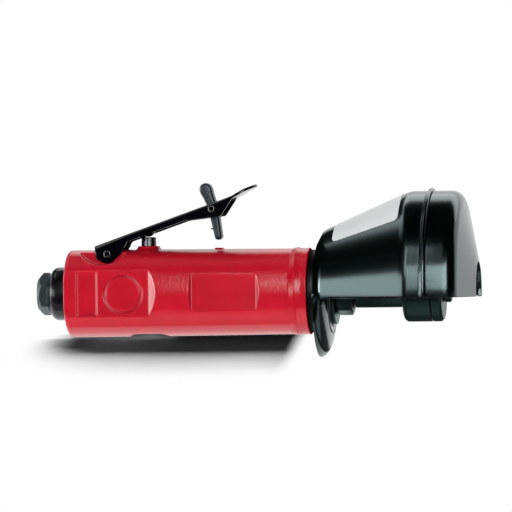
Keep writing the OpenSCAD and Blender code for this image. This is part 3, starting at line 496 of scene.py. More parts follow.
class Graph:
    """The node tree of one material, of the world or of a modifier."""

    def __init__(self, owner: bpy.types.Material | bpy.types.World | bpy.types.NodeTree) -> None:
        """Starts with an empty tree.

        Args:
            owner: What the tree belongs to, or a tree itself.
        """
        self.owner = owner
        if not isinstance(owner, bpy.types.NodeTree):
            owner.use_nodes = True
        self.tree = getattr(owner, "node_tree", owner)
        self.tree.nodes.clear()

    def node(self, kind: str, settings: dict[str, Any] | None = None,
             sockets: dict[Any, Any] | None = None) -> bpy.types.Node:
        """Adds a node.

        Args:
            kind: The node's type.
            settings: Its properties, set first.
            sockets: Values or links of its inputs, by name or number.

        Returns:
            The node.
        """
        made = self.tree.nodes.new(kind)
        for name, value in (settings or {}).items():
            setattr(made, name, value)
        for key, value in (sockets or {}).items():
            if isinstance(value, Value):
                value = value.socket
            if isinstance(value, bpy.types.NodeSocket):
                self.tree.links.new(value, made.inputs[key])
            else:
                made.inputs[key].default_value = value
        return made

    def place(self) -> bpy.types.NodeSocket:
        """The place on the piece, in its own coordinates."""
        return self.node("ShaderNodeTexCoord").outputs["Object"]

    def noise(self, grain: float, detail: float = 2.0) -> Value:
        """Noise whose spots are about one grain wide, in millimetres.

        Args:
            grain: The width of a spot.
            detail: How many finer layers it has.

        Returns:
            The noise, from 0 to 1.
        """
        made = self.node("ShaderNodeTexNoise", None,
                         {"Vector": self.place(), "Scale": 1 / (grain * MM), "Detail": detail})
        return Value(self, made.outputs[0])

    def parts(self) -> tuple[Value, Value, Value]:
        """The place on the piece, as x, y and z.

        Returns:
            The three values, in metres.
        """
        made = self.node("ShaderNodeSeparateXYZ", None, {0: self.place()})
        x, y, z = (Value(self, part) for part in made.outputs)
        return x, y, z

    def reach(self) -> Value:
        """The distance from the tool's axis."""
        _, y, z = self.parts()
        return (y * y + z * z) ** 0.5

    def turning(self, grain: float) -> Value:
        """Fine rings about the tool's axis, as a lathe leaves them.

        Args:
            grain: The distance of the rings, in millimetres.

        Returns:
            The rings, from 0 to 1.
        """
        along = self.parts()[0] + self.reach()
        made = self.node("ShaderNodeTexNoise", {"noise_dimensions": "1D"},
                         {"W": along, "Scale": 1 / (grain * MM), "Detail": 3.0})
        return Value(self, made.outputs[0])

    def mixed(self, share: Any, first: Any, second: Any) -> bpy.types.NodeSocket:
        """A colour between two."""
        made = self.node("ShaderNodeMix", {"data_type": "RGBA"}, {0: share, 6: first, 7: second})
        return made.outputs[2]

    def bump(self, height: Value, depth: float) -> bpy.types.NodeSocket:
        """A normal that follows a height, whose depth is in millimetres."""
        sockets = {"Height": height, "Distance": depth * MM, "Strength": 1.0}
        return self.node("ShaderNodeBump", None, sockets).outputs[0]

    def surface(self, shader: bpy.types.Node) -> None:
        """Ends the tree in a shader."""
        end = "World" if isinstance(self.owner, bpy.types.World) else "Material"
        self.node("ShaderNodeOutput" + end, None, {"Surface": shader.outputs[0]})

    def blend(self, share: Value, first: bpy.types.Node, second: bpy.types.Node) -> None:
        """Ends the tree in a mix of two shaders."""
        sockets = {0: share, 1: first.outputs[0], 2: second.outputs[0]}
        self.surface(self.node("ShaderNodeMixShader", None, sockets))


def opaque(colour: Colour) -> tuple[float, float, float, float]:
    """A colour with full alpha."""
    return (*colour, 1.0)


def shade(colour: Colour, share: float) -> Colour:
    """A colour made darker or lighter by a share."""
    return tuple(min(part * share, 1.0) for part in colour)


@dataclass(frozen=True)
class Coat:
    """A painted, plated or moulded finish that isn't bare metal."""

    name: str
    colour: Colour
    roughness: float
    mottle: float = 0.12
    spread: float = 0.06
    grain: float = 0.9
    depth: float = 0.01
    gloss: float = 0.0
    gloss_roughness: float = 0.05
    specular: float = 0.5
    tint: Colour = (1.0, 1.0, 1.0)
    cast_within: float = 0.0
    cast_edge: float = 0.2
    cloud: Point = (9.0, 3.0)
    cloud_band: Point = (0.3, 0.7)
    dust: Point = (3.1, 4.0)

    def material(self) -> bpy.types.Material:
        """Builds the material.

        Returns:
            The material.
        """
        graph = Graph(bpy.data.materials.new(self.name))
        cloud = graph.noise(*self.cloud)
        fine = graph.noise(self.grain)
        if self.cast_within:
            edge = graph.reach().between(self.cast_within * MM, (self.cast_within + self.cast_edge) * MM)
            fine = (fine - 0.5) * edge
        dust = graph.noise(self.grain * self.dust[0], self.dust[1])
        dark, light = (opaque(shade(self.colour, 1 + sign * self.mottle)) for sign in (-1, 1))
        colour = graph.mixed(cloud.between(*self.cloud_band), dark, light)
        shader = graph.node("ShaderNodeBsdfPrincipled", None, {
            "Base Color": colour, "Roughness": (dust - 0.5) * (2 * self.spread) + self.roughness,
            "Coat Weight": self.gloss, "Coat Roughness": self.gloss_roughness,
            "Specular IOR Level": self.specular, "Specular Tint": opaque(self.tint),
            "Normal": graph.bump(fine, self.depth)})
        graph.surface(shader)
        return graph.owner


@dataclass(frozen=True)
class Metal:
    """Bare or blackened metal, turned on a lathe or drawn."""

    name: str
    colour: Colour
    roughness: float
    metallic: float = 1.0
    marks: float = 0.35
    depth: float = 0.006
    spread: float = 0.12
    specular: float = 0.5
    tint: Colour = (1.0, 1.0, 1.0)
    cloud: Point = (4.0, 4.0)
    cloud_band: Point = (0.3, 0.75)
    worn: float = 0.82

    def material(self) -> bpy.types.Material:
        """Builds the material.

        Returns:
            The material.
        """
        graph = Graph(bpy.data.materials.new(self.name))
        cloud = graph.noise(*self.cloud)
        rings = graph.turning(self.marks)
        dark, light = opaque(shade(self.colour, self.worn)), opaque(self.colour)
        colour = graph.mixed(cloud.between(*self.cloud_band), dark, light)
        shader = graph.node("ShaderNodeBsdfPrincipled", None, {
            "Base Color": colour, "Metallic": self.metallic,
            "Specular IOR Level": self.specular, "Specular Tint": opaque(self.tint),
            "Roughness": rings * self.spread + cloud * self.spread + (self.roughness - self.spread),
            "Normal": graph.bump(rings, self.depth)})
        graph.surface(shader)
        return graph.owner


class Finish(Enum):
    """The finishes of the tool, by the record's slot."""

    RED_PAINT = ("red_paint", Coat("red_gloss_paint", (0.46, 0.0050, 0.0180), 0.18, 0.05, 0.04, 0.8, 0.09,
                                   cast_within=17.9))
    BLACK_LEVER = ("black_lever", Coat("black_lever_enamel", (0.0012, 0.0012, 0.0026), 0.09, 0.2, 0.01,
                                       0.6, 0.0))
    BLACK_GUARD = ("black_guard", Coat("black_guard_coat", (0.0003, 0.0014, 0.0011), 0.17, 0.2, 0.03, 0.8,
                                       0.0012, specular=1.0, tint=(0.74, 1.0, 1.0)))
    BLACK_CAP = ("black_guard", Coat("black_cap_coat", (0.001, 0.0012, 0.0014), 0.36, 0.2, 0.04, 0.5, 0.002,
                                   specular=0.3))
    BLACK_OXIDE = ("black_oxide", Metal("black_oxide_steel", (0.003, 0.008, 0.0075), 0.34, 0.2, depth=0.003,
                                        specular=0.42, tint=(0.55, 1.0, 0.92)))
    INLET_OXIDE = ("black_oxide", Metal("inlet_oxide_steel", (0.022, 0.034, 0.040), 0.40, 0.4, depth=0.003))
    COLLAR_OXIDE = ("black_oxide", Metal("collar_oxide_steel", (0.004, 0.004, 0.006), 0.24, 0.25,
                                         depth=0.003))
    STEM_STEEL = ("bright_steel", Metal("stem_steel", (0.15, 0.15, 0.16), 0.26))
    BRIGHT_STEEL = ("bright_steel", Metal("bright_steel", (0.42, 0.42, 0.43), 0.26))
    # Painted shade: near black with little gloss, standing for the dark inside of the pins' bores.
    PIN_BORE_SHADE = ("bright_steel", Metal("pin_bore_painted_shade", (0.003, 0.003, 0.004), 0.5, 0.2, specular=0.1))
    PIN_STEEL = ("bright_steel", Metal("dull_pin_steel", (0.22, 0.23, 0.25), 0.24, 0.8, 3.0, 0.0, 0.04))
    BEARING_STEEL = ("bearing_steel", Metal("bearing_steel", (0.60, 0.60, 0.61), 0.18))
    SPRING_STEEL = ("spring_steel", Metal("spring_wire", (0.10, 0.10, 0.11), 0.32))
    LATCH_RESIN = ("latch_resin", Coat("latch_resin", (0.010, 0.019, 0.026), 0.34, 0.1, 0.02, 0.5, 0.0))
    BUSH_BRASS = ("bush_brass", Metal("bush_brass", (0.62, 0.42, 0.16), 0.3))
    SEAL_RUBBER = ("seal_rubber", Coat("seal_rubber", (0.012, 0.012, 0.012), 0.6, 0.2, 0.1, 0.4, 0.01))
    VANE_RESIN = ("vane_resin", Coat("vane_resin", (0.16, 0.08, 0.035), 0.55, 0.25, 0.1, 0.5, 0.02))
    MUFFLER_FELT = ("muffler_felt", Coat("muffler_felt", (0.2, 0.19, 0.16), 0.9, 0.3, 0.05, 0.35, 0.08))
    MOTOR_IRON = ("motor_iron", Metal("motor_iron", (0.28, 0.28, 0.29), 0.42))
    LABEL_FILM = ("", Coat("bare_label_film", (0.62, 0.655, 0.65), 0.42, 0.03, 0.05, 0.4, 0.003, 0.2, 0.3))

    def __init__(self, slot: str, kind: Coat | Metal) -> None:
        """Keeps the record's slot and the finish."""
        self.slot = slot
        self.kind = kind


class Shop:
    """Turns solids into pieces of the frame and keeps their materials."""

    def __init__(self, frame: dict[str, Any]) -> None:
        """Takes the loaded frame."""
        self.frame = frame
        self.materials = {finish: finish.kind.material() for finish in Finish}

    def box(self, node: str) -> tuple[Vector, Vector]:
        """The lowest and the highest corner of a node, in millimetres."""
        low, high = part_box(node)
        return low / MM, high / MM

    def joint(self, name: str) -> dict[str, Any]:
        """A joint of the record."""
        return next(joint for joint in self.frame["joints"] if joint["name"] == name)

    def object(self, name: str, solid: Solid, finish: Finish) -> bpy.types.Object:
        """Makes an object in metres that rides on nothing yet.

        Args:
            name: The object's name.
            solid: Its shape.
            finish: Its finish.

        Returns:
            The object.
        """
        mesh = solid.mesh
        mesh.transform(Matrix.Scale(MM, 4))
        mesh.name = name
        mesh.materials.clear()
        mesh.materials.append(self.materials[finish])
        mesh.shade_smooth()
        made = added(name, mesh)
        return made

    def place(self, name: str, solid: Solid, finish: Finish, body: Body, *nodes: str,
              sharp: float = 0.0) -> bpy.types.Object:
        """Makes a piece that rides on a body.

        Args:
            name: The piece's name.
            solid: Its shape.
            finish: Its finish.
            body: The body that carries it.
            nodes: The frame's nodes that it stands for.
            sharp: The angle, in degrees, from which an edge shows as sharp; 0 shows none.

        Returns:
            The piece.
        """
        made = self.object(name, solid, finish)
        if sharp:
            made.data.set_sharp_from_angle(angle=math.radians(sharp))
        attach(made, body.value)
        if nodes:
            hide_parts(*nodes)
        log.info("%s: %d faces on %s", name, len(made.data.polygons), body.value)
        return made

    def dress(self, finish: Finish, *nodes: str) -> None:
        """Gives nodes of the frame a finish.

        Args:
            finish: The finish.
            nodes: The names of the nodes.
        """
        for node in nodes:
            mesh = self.frame["nodes"][node].data
            mesh.materials.clear()
            mesh.materials.append(self.materials[finish])
            log.info("%s: dressed in %s", node, finish.kind.name)


@dataclass
class Handle:
    """The red cast housing with its flats, panel, medallion, pads, boss and lug."""

    radius: float = 18.6
    grip_radius: float = 18.25
    collar_radius: float = 18.9
    edge_round: float = 1.9
    collar_len: float = 5.2
    flare_len: float = 2.5
    step: float = 0.25
    waist_depth: float = 0.35
    front_radius: float = 18.5
    bore_radius: float = 15.0
    bore_len: float = 60.2
    flat_y: float = 15.7
    flat_ahead: float = 2.0
    flat_run: float = 1.15
    pad_y: float = 16.6
    pad_len: float = 28.0
    pad_runs: Point = (0.35, 0.8)
    pad_from_front: float = 21.5
    panel_low: float = 5.6
    panel_size: Point = (8.4, 19.0)
    panel_slope: float = 0.62
    mark_depth: float = 0.45
    medal_radius: float = 8.5
    medal_groove: float = 1.3
    medal_back: float = 9.0
    boss_top: float = 20.1
    boss_radius: float = 4.8
    boss_foot: float = 7.2
    bush_radius: float = 3.95
    stem_wall_depth: float = 1.2
    nub_radius: float = 1.95
    nub_at: float = -91.1
    nub_height: float = 0.55
    lug_half: float = 6.45
    lug_top: float = 1.3
    scoop_radius: float = 12.8
    scoop_low: float = 4.9
    scoop_back: float = 1.5
    recess_radius: float = 8.5
    recess_depth: float = 1.2
    regulator_radius: float = 5.65
    regulator_depth: float = 6.0
    inlet_radius: float = 8.85
    inlet_depth: float = 14.0
    lug_room: Point = (7.1, 6.4)
    pin_hole: float = 1.43
    boss_sink: Point = (1.0, 0.5)
    boss_rounds: Point = (1.2, 0.8)
    front_round: float = 0.2
    past: float = 3.0
    ease: Ease = (0.23, 4, 190_000)

    def casting(self, shop: Shop) -> Solid:
        """Builds the painted casting.

        Args:
            shop: Makes the pieces and knows the frame.

        Returns:
            The casting with sharp edges.
        """
        low, high = shop.box("housing")
        valve = (shop.box("valve_stem")[0].x + shop.box("valve_stem")[1].x) / 2
        pivot = Vector(shop.joint("lever_hinge")["pos_m"]) / MM
        rear, front = low.x, high.x
        crest = front - self.collar_len
        band = self.collar_radius - self.step
        path = [(rear, 0), (rear, self.radius), (valve, self.radius),
                (crest - self.flare_len, self.grip_radius), (crest, self.collar_radius),
                (crest + self.step, band), ((crest + front) / 2, band - self.waist_depth),
                (front, self.front_radius), (front, 0)]
        radii = [0, self.edge_round, 0, self.flare_len, 0, 0, self.collar_len / 2, self.front_round, 0]
        body = Solid.spun(rounded(path, radii, 10), Sides.CASTING)
        sink, rise = self.boss_sink
        boss = rounded([(0, 0), (0, self.boss_foot), (self.radius - sink, self.boss_foot),
                        (self.radius + rise, self.boss_radius), (self.boss_top, self.boss_radius),
                        (self.boss_top, 0)], [0, 0, 0, *self.boss_rounds, 0])
        top = Matrix.Translation((valve, 0, 0)) @ Matrix.Rotation(math.radians(-90), 4, "Y")
        nub_top = height_at([(valve, self.radius), (crest, self.grip_radius)], self.nub_at) + self.nub_height
        nub = Solid.rod((self.nub_at, 0, 0), (self.nub_at, 0, nub_top), self.nub_radius, Sides.PIN)
        body = body.join(Solid.spun(boss, Sides.NECK).moved(top), nub)
        return body.cut(*self.side_cuts(rear, front, valve, pivot), *self.bores(rear, front, valve, pivot))

    def side_cuts(self, rear: float, front: float, valve: float, pivot: Vector) -> list[Solid]:
        """The flats, pads, panels, medallion grooves and scoops of both sides.

        Args:
            rear: The x of the casting's rear end.
            front: The x of its front end.
            valve: The x of the valve's axis.
            pivot: The lever's pivot.

        Returns:
            The solids to cut away.
        """
        out = self.radius + self.past
        top = out + 1
        flat_end = valve + self.flat_ahead
        pad_end = front - self.pad_from_front
        pad_rise = top - self.pad_y
        cuts: list[Solid] = []
        floor = self.flat_y - self.mark_depth
        wide, tall = self.panel_size
        for side in (1, -1):
            start, end = rear + self.panel_low, rear + self.panel_low + wide
            slope = self.panel_slope / self.mark_depth * (out - floor)
            flat = [(rear - 2 * self.past, self.flat_y), (flat_end, self.flat_y),
                    (flat_end + self.flat_run * (top - self.flat_y), top), (rear - 2 * self.past, top)]
            panel = [(start, floor), (end, floor), (end + slope, out), (start, out)]
            pad = [(pad_end - self.pad_len, self.pad_y), (pad_end, self.pad_y),
                   (pad_end + pad_rise * self.pad_runs[1], top),
                   (pad_end - self.pad_len - pad_rise * self.pad_runs[0], top)]
            for plan, half in ((flat, out), (panel, tall / 2), (pad, out)):
                cuts.append(Solid.loft([[(x, side * y, z) for x, y in plan] for z in (-half, half)]))
            middle = valve - self.medal_back
            inner = self.medal_radius - self.medal_groove
            ring = Solid.spun([(0, inner), (0, self.medal_radius), (1, self.medal_radius), (1, inner)],
                              Sides.NECK)
            cuts.append(ring.stood((middle, side * floor, 0), (middle, side * out, 0)))
            x, z = pivot.x - self.scoop_back, pivot.z - self.scoop_low + self.scoop_radius
            cuts.append(Solid.rod((x, side * self.lug_half, z), (x, side * out, z), self.scoop_radius,
                                  Sides.SCOOP))
        return cuts

    def bores(self, rear: float, front: float, valve: float, pivot: Vector) -> list[Solid]:
        """The lug's flat, the pin's hole, the motor's bore, the inlet and the valve's holes.

        Args:
            rear: The x of the casting's rear end.
            front: The x of its front end.
            valve: The x of the valve's axis.
            pivot: The lever's pivot.

        Returns:
            The solids to cut away.
        """
        low = -self.radius
        reach = self.lug_half + self.past
        lug = pivot.z + self.lug_top
        bush = self.boss_top - self.stem_wall_depth
        recess, regulator = low + self.recess_depth, low + self.regulator_depth
        back, ahead = self.lug_room
        return [
            Solid.block((pivot.x - back, -reach, lug), (pivot.x + ahead, reach, lug + self.radius)),
            Solid.rod((pivot.x, -self.radius, pivot.z), (pivot.x, self.radius, pivot.z), self.pin_hole,
                      Sides.HOLE),
            Solid.rod((front - self.bore_len, 0, 0), (front + self.past, 0, 0), self.bore_radius, Sides.NECK),
            Solid.rod((rear - self.past, 0, 0), (rear + self.inlet_depth, 0, 0), self.inlet_radius,
                      Sides.BORE),
            Solid.rod((valve, 0, bush), (valve, 0, self.boss_top + self.past), self.bush_radius, Sides.STEM),
            Solid.rod((valve, 0, low - self.past), (valve, 0, recess), self.recess_radius, Sides.BORE),
            Solid.rod((valve, 0, low - self.past), (valve, 0, regulator), self.regulator_radius, Sides.STEM),
        ]

    def build(self, shop: Shop) -> None:
        """Places the housing.

        Args:
            shop: Makes the pieces and knows the frame.
        """
        solid = self.casting(shop).softened(*self.ease)
        made = shop.place("housing_casting", solid, Finish.RED_PAINT, Body.HANDLE, "housing")
        made.visible_diffuse = False


@dataclass
class AirInlet:
    """The hex inlet bushing, its thread and the exhaust collar round it."""

    flats: float = 15.9
    turn: float = 5.5
    neck_radius: float = 8.55
    thread_radius: float = 5.56
    thread_len: float = 12.0
    thread_pitch: float = 1.41
    thread_depth: float = 0.55
    bore_radius: float = 4.5
    collar_round: float = 3.3
    collar_back: float = 1.0
    rim_round: float = 0.5
    collar_wall: float = 2.2
    muffler_radius: float = 10.16
    cones: Point = (43.0, 30.0)
    end_shares: Point = (0.42, 0.49)
    gap: float = 0.1
    overlap: float = 0.02
    mouth: Point = (1.4, 0.9)
    thread_start: float = 1.2
    per_turn: int = 36
    ease: Ease = (0.13, 3, 60_000)

    def build(self, shop: Shop) -> None:
        """Places the collar, the bushing and its thread.

        Args:
            shop: Makes the pieces and knows the frame.
        """
        low, high = shop.box("exhaust_collar")
        low.x -= self.collar_back
        hole, wall, outer = self.neck_radius + self.gap, low.x + self.collar_wall, high.y
        path = [(low.x, hole), (low.x, outer), (high.x, outer), (high.x, self.muffler_radius),
                (wall, self.muffler_radius), (wall, hole)]
        ring = Solid.spun(rounded(path, [0, self.collar_round, self.rim_round, 0.2, 0, 0], 10), Sides.RING)
        shop.place("exhaust_collar_turned", ring, Finish.COLLAR_OXIDE, Body.HANDLE, "exhaust_collar",
                   sharp=40)
        start, end = shop.box("inlet_bushing")
        hexagon = hex_bar(start.x, low.x + self.overlap, self.flats, self.turn, self.cones, self.end_shares)
        neck = Solid.rod((low.x - 1, 0, 0), (end.x, 0, 0), self.neck_radius, Sides.NECK)
        bore = Solid.rod((start.x - 1, 0, 0), (end.x + 1, 0, 0), self.bore_radius, Sides.BORE)
        wider, deep = self.mouth
        bottom = start.x + self.thread_len
        mouth = [(start.x - 1, 0), (start.x - 1, self.thread_radius + wider),
                 (start.x + deep, self.thread_radius), (bottom, self.thread_radius), (bottom, 0)]
        solid = hexagon.join(neck).cut(bore, Solid.spun(mouth, Sides.BORE)).softened(*self.ease)
        shop.place("inlet_bushing_turned", solid, Finish.INLET_OXIDE, Body.HANDLE, "inlet_bushing")
        turns = (self.thread_len - 2 * self.thread_pitch) / self.thread_pitch
        curl = helix(self.thread_radius, self.thread_pitch, self.per_turn, int(turns * self.per_turn))
        path3 = [Vector((start.x + self.thread_start + x, y, z)) for x, y, z in curl]
        thread = Wire(self.thread_depth, 4).mesh("inlet_thread", path3, shop.materials[Finish.BLACK_OXIDE])
        shop.place("inlet_thread", thread, Finish.BLACK_OXIDE, Body.HANDLE, sharp=30)


def hex_bar(start: float, end: float, flats: float, turn: float, cones: Point,
            shares: Point = (0.48, 0.48)) -> Solid:
    """A hex bar along x whose corners are turned down to a cone at both ends.

    Args:
        start: Where it starts.
        end: Where it ends.
        flats: Its width across the flats.
        turn: Its turn about the axis, in degrees.
        cones: The slope of each end, in degrees.
        shares: The radius of each end's plain face, as a share of the flats.

    Returns:
        The bar.
    """
    corners = [polar((0, 0), flats / math.sqrt(3), turn - 90 + 60 * i) for i in range(6)]
    bar = Solid.loft([[(x, y, z) for y, z in corners] for x in (start, end)])
    past = flats * CORNER_PAST
    runs = [(past - flats * share) * math.tan(math.radians(cone)) for cone, share in zip(cones, shares)]
    ends = Solid.spun([(start, 0), (start, flats * shares[0]), (start + runs[0], past), (end - runs[1], past),
                       (end, flats * shares[1]), (end, 0)], Sides.RING)
    return bar.common(ends)


class Wire:
    """A round wire along a path, made by a node tree."""

    def __init__(self, radius: float, sides: int) -> None:
        """Keeps the wire's radius, in millimetres, and its number of sides."""
        self.radius = radius
        self.sides = sides

    def tree(self, material: bpy.types.Material) -> bpy.types.NodeTree:
        """Builds the tree: the path becomes a curve, and the curve a tube.

        Args:
            material: The wire's material.

        Returns:
            The tree.
        """
        tree = bpy.data.node_groups.new("wire_along_path", "GeometryNodeTree")
        for name, way, kind in (("Path", "INPUT", "Geometry"), ("Wire radius", "INPUT", "Float"),
                                ("Sides", "INPUT", "Int"), ("Wire", "OUTPUT", "Geometry")):
            tree.interface.new_socket(name, in_out=way, socket_type="NodeSocket" + kind)
        graph = Graph(tree)
        given = graph.node("NodeGroupInput").outputs
        curve = graph.node("GeometryNodeMeshToCurve", None, {"Mesh": given["Path"]})
        ring = graph.node("GeometryNodeCurvePrimitiveCircle", None,
                          {"Radius": given["Wire radius"], "Resolution": given["Sides"]})
        tube = graph.node("GeometryNodeCurveToMesh", None,
                          {"Curve": curve.outputs["Curve"], "Profile Curve": ring.outputs["Curve"],
                           "Fill Caps": True})
        real = graph.node("GeometryNodeRealizeInstances", None, {"Geometry": tube.outputs["Mesh"]})
        paint = graph.node("GeometryNodeSetMaterial", None,
                           {"Geometry": real.outputs["Geometry"], "Material": material})
        graph.node("NodeGroupOutput", None, {"Wire": paint.outputs["Geometry"]})
        return tree

    def mesh(self, name: str, path: Sequence[Vector], material: bpy.types.Material) -> Solid:
        """Makes the wire along a path of points.

        Args:
            name: The name of the path's mesh.
            path: The points, in millimetres.
            material: The wire's material.

        Returns:
            The wire as a closed solid.
        """
        line = bpy.data.meshes.new(name)
        line.from_pydata(path, [(i, i + 1) for i in range(len(path) - 1)], [])
        host = Solid.hosted(line)
        tree = self.tree(material)
        step = host.modifiers.new("wire", "NODES")
        step.node_group = tree
        inputs = {item.name: item.identifier for item in tree.interface.items_tree if item.in_out == "INPUT"}
        step[inputs["Wire radius"]] = self.radius
        step[inputs["Sides"]] = self.sides
        made = Solid.evaluated(host).mesh
        work = bmesh.new()
        work.from_mesh(made)
        return Solid.sealed(work, made, WIRE_GAP)


@dataclass
class Throttle:
    """The lever, its pin, the lock-off latch, its pin and spring, and the valve's stem."""

    slope: float = 19.2
    width: float = 16.0
    sheet: float = 1.2
    web_top: float = 5.0
    heel: float = 4.9
    heel_lean: float = 0.6
    heel_round: Point = (3.8, 30.0)
    ear_radius: float = 4.15
    ear_front: float = 9.8
    ear_bulge: Point = (5.4, -2.3)
    side_depth: float = 3.1
    cheek_start: float = 36.2
    cheek_low: float = 51.5
    cheek_depth: float = 6.5
    bend_at: float = 58.5
    tip_bends: Point = (10.5, 4.5)
    tip_lens: Point = (5.6, 5.65)
    tip_depth: float = 1.19
    bend_round: float = 1.5
    pin_radius: float = 1.4
    dimple_at: Point = (19.18, 3.98)
    dimple_radius: float = 3.0
    latch_at: Point = (48.8, 2.7)
    latch_w: float = 7.0
    latch_pin_radius: float = 1.3
    knob_turn: float = 92.0
    knob_at: float = 9.0
    knob_radius: float = 2.65
    neck_radius: float = 2.2
    hub_radius: float = 2.1
    leg_turn: float = -99.4
    leg_len: float = 11.8
    foot_radius: float = 1.6
    latch_round: float = 1.3
    slot: tuple[float, float, float] = (4.2, 10.6, 4.0)
    wire: float = 0.3
    coil_radius: float = 2.1
    coil_y: Point = (6.2, 4.1)
    coil_turns: int = 2
    hook_at: float = 8.2
    hook_gap: float = 0.1
    hook_bend: float = 0.9
    pin_bore: float = 4.0
    bores: Point = (1.05, 0.95)
    ear_arc: Point = (200.0, 310.0)
    edge_rounds: tuple[float, ...] = (2.6, 0.9, 9.0, 1.2, 1.0, 8.0, 0.0)
    tip_round: float = 8.0
    slot_round: float = 1.2
    coil_room: tuple[float, float, float] = (0.4, 0.35, 0.3)
    dimple_reach: float = 40.0
    leg_steps: tuple[float, ...] = (0.15, 0.4, 0.7)
    stem_tail: Point = (1.5, 11.4)
    stem_top: tuple[Point, ...] = ((1.5, 0.0), (1.4, 0.18), (1.1, 0.18), (1.0, 0.0), (0.5, 0.0), (0.1, 0.4),
                                   (0.0, 0.8))
    past: float = 9.0
    window_past: float = 1.5
    open_below: float = 6.0
    inner_corner: float = 0.3
    pin_gap: float = 0.05
    latch_gap: float = 0.03
    curl_steps: int = 24
    ease: Ease = (0.17, 4, 150_000)

    def axes(self, shop: Shop) -> Matrix:
        """The lever's own axes: u along the web, y across and n square to the web, from the pivot."""
        pivot = Vector(shop.joint("lever_hinge")["pos_m"]) / MM
        return Matrix.Translation(pivot) @ Matrix.Rotation(math.radians(-self.slope), 4, "Y")

    def tip(self) -> Point:
        """The end of the tip, as u and n of its top."""
        return polar(self.knee(), self.tip_lens[1], self.tip_bends[1])

    def knee(self) -> Point:
        """The place where the tip bends back, as u and n of its top."""
        return polar((self.bend_at, self.web_top), self.tip_lens[0], self.tip_bends[0])

    def under_edge(self) -> Outline:
        """The lower edge of the lever's sides, as n over u.

        Returns:
            The edge from the heel to the tip.
        """
        ear = arc((0, 0), self.ear_radius, *self.ear_arc, 14)
        side = self.web_top - self.side_depth
        path = [(-self.heel, ear[0][1])] + [p for p in ear if p[0] > -self.heel + 0.05]
        path += [self.ear_bulge, (self.ear_front, side), (self.cheek_start, side),
                 (self.cheek_low, self.web_top - self.cheek_depth)]
        tops = (self.bend_at, self.web_top), self.knee(), self.tip()
        path += [(u, n - self.tip_depth) for u, n in tops]
        radii = [0.0] * (len(path) - len(self.edge_rounds)) + [*self.edge_rounds]
        return rounded(path, radii, 8)

    def half_width(self, u: float, inset: float) -> float:
        """Half the lever's width at u, with its round tip.

        Args:
            u: The place along the web.
            inset: How far inside the outside.

        Returns:
            Half the width.
        """
        radius = self.width / 2 - inset
        past = u - (self.tip()[0] - self.width / 2)
        return radius if past <= 0 else math.sqrt(max(radius * radius - past * past, 1e-4))

    def channel(self, inset: float, corner: float, below: float) -> Solid:
        """A bar that fills the lever's outside, or its inside where inset is the sheet.

        Args:
            inset: How far it lies inside the lever's outside.
            corner: The rounding of its upper corners.
            below: How far it reaches under the lower edge.

        Returns:
            The bar, in the lever's axes.
        """
        under = self.under_edge()
        end_u = self.tip()[0] - inset
        tops = [(-self.heel - 2, self.web_top), (self.bend_at, self.web_top), self.knee(), self.tip()]
        tops = rounded(tops, [0, self.tip_round, self.tip_round, 0], 8)
        start = -self.heel - inset
        middle = self.tip()[0] - self.width / 2
        round_end = [middle + (end_u - middle) * math.sin(math.radians(a)) for a in range(6, 90, 6)]
        stations = sorted({start, end_u - 0.004, *(u for u, _ in under if start < u < middle),
                           *(u for u, _ in tops if start < u < middle), *round_end})
        rings = []
        for u in stations:
            half = self.half_width(u, inset)
            high = height_at(tops, u) - inset
            low = height_at(under, u) - below
            wide, reach = self.heel_round
            ahead = min(max((u + self.heel) / reach, 0.0), 1.0)
            turn = corner + (wide - self.bend_round) * (1 - ahead) ** 2
            turn = min(turn, half * 0.9, (high - low) * 0.6)
            shape = [(half, low)] + arc((half - turn, high - turn), turn, 0, 90, 8)
            shape += arc((turn - half, high - turn), turn, 90, 180, 8) + [(-half, low)]
            rings.append([(u, y, n) for y, n in shape])
        return Solid.loft(rings)

    def lever(self) -> Solid:
        """The pressed lever, in its own axes.

        Returns:
            The lever with sharp edges.
        """
        u, n = self.latch_at
        back, ahead, side = self.slot
        web = self.web_top - self.sheet
        outer = self.channel(0.0, self.bend_round, 0.0)
        inner = self.channel(self.sheet, self.bend_round - self.sheet + self.inner_corner, self.open_below)
        dimple = ball((self.dimple_at[0], 0, self.dimple_at[1]), self.dimple_radius)
        past = self.past
        half_web = (self.dimple_reach, past, web + self.sheet / 2)
        dimple = dimple.common(Solid.block((0, -past, -past), half_web))
        first, last = u - back, u + ahead
        slot = [(u, -side), (last, -side), (last, side), (first, side), (first, -side), (u, -side)]
        slot = rounded(slot, [0, *[self.slot_round] * 4, 0], 6)[:-1]
        ends = web - self.window_past, self.web_top + self.window_past
        window = Solid.loft([[(x, y, z) for x, y in slot] for z in ends])
        inward, outward, wider = self.coil_room
        coil = Solid.rod((u, side - inward, n), (u, self.coil_y[0] + outward, n),
                         self.coil_radius + self.wire + wider, Sides.PIN)
        top = self.web_top + 1
        lean = Solid.prism([(-self.heel - 2, top), (-self.heel + self.heel_lean, top), (-self.heel, 0.5),
                            (-self.heel - 2, 0.5)], -past, past)
        holes = [lean, Solid.rod((0, -past, 0), (0, past, 0), self.pin_radius + self.pin_gap, Sides.PIN),
                 Solid.rod((u, -past, n), (u, past, n), self.latch_pin_radius + self.latch_gap, Sides.PIN)]
        return outer.cut(inner).join(dimple).cut(window, coil, *holes)

    def leg_half(self, share: float) -> float:
        """Half the width of the latch's leg, at a share of its length."""
        return self.hub_radius + (self.foot_radius - self.hub_radius) * share

    def flank(self, turn: float, side: float, steps: Sequence[Point], inset: float) -> Outline:
        """One edge of the latch: its half widths along a line from the hub, drawn in by an inset."""
        return [polar(polar(self.latch_at, along, turn), half - inset, turn + side) for along, half in steps]

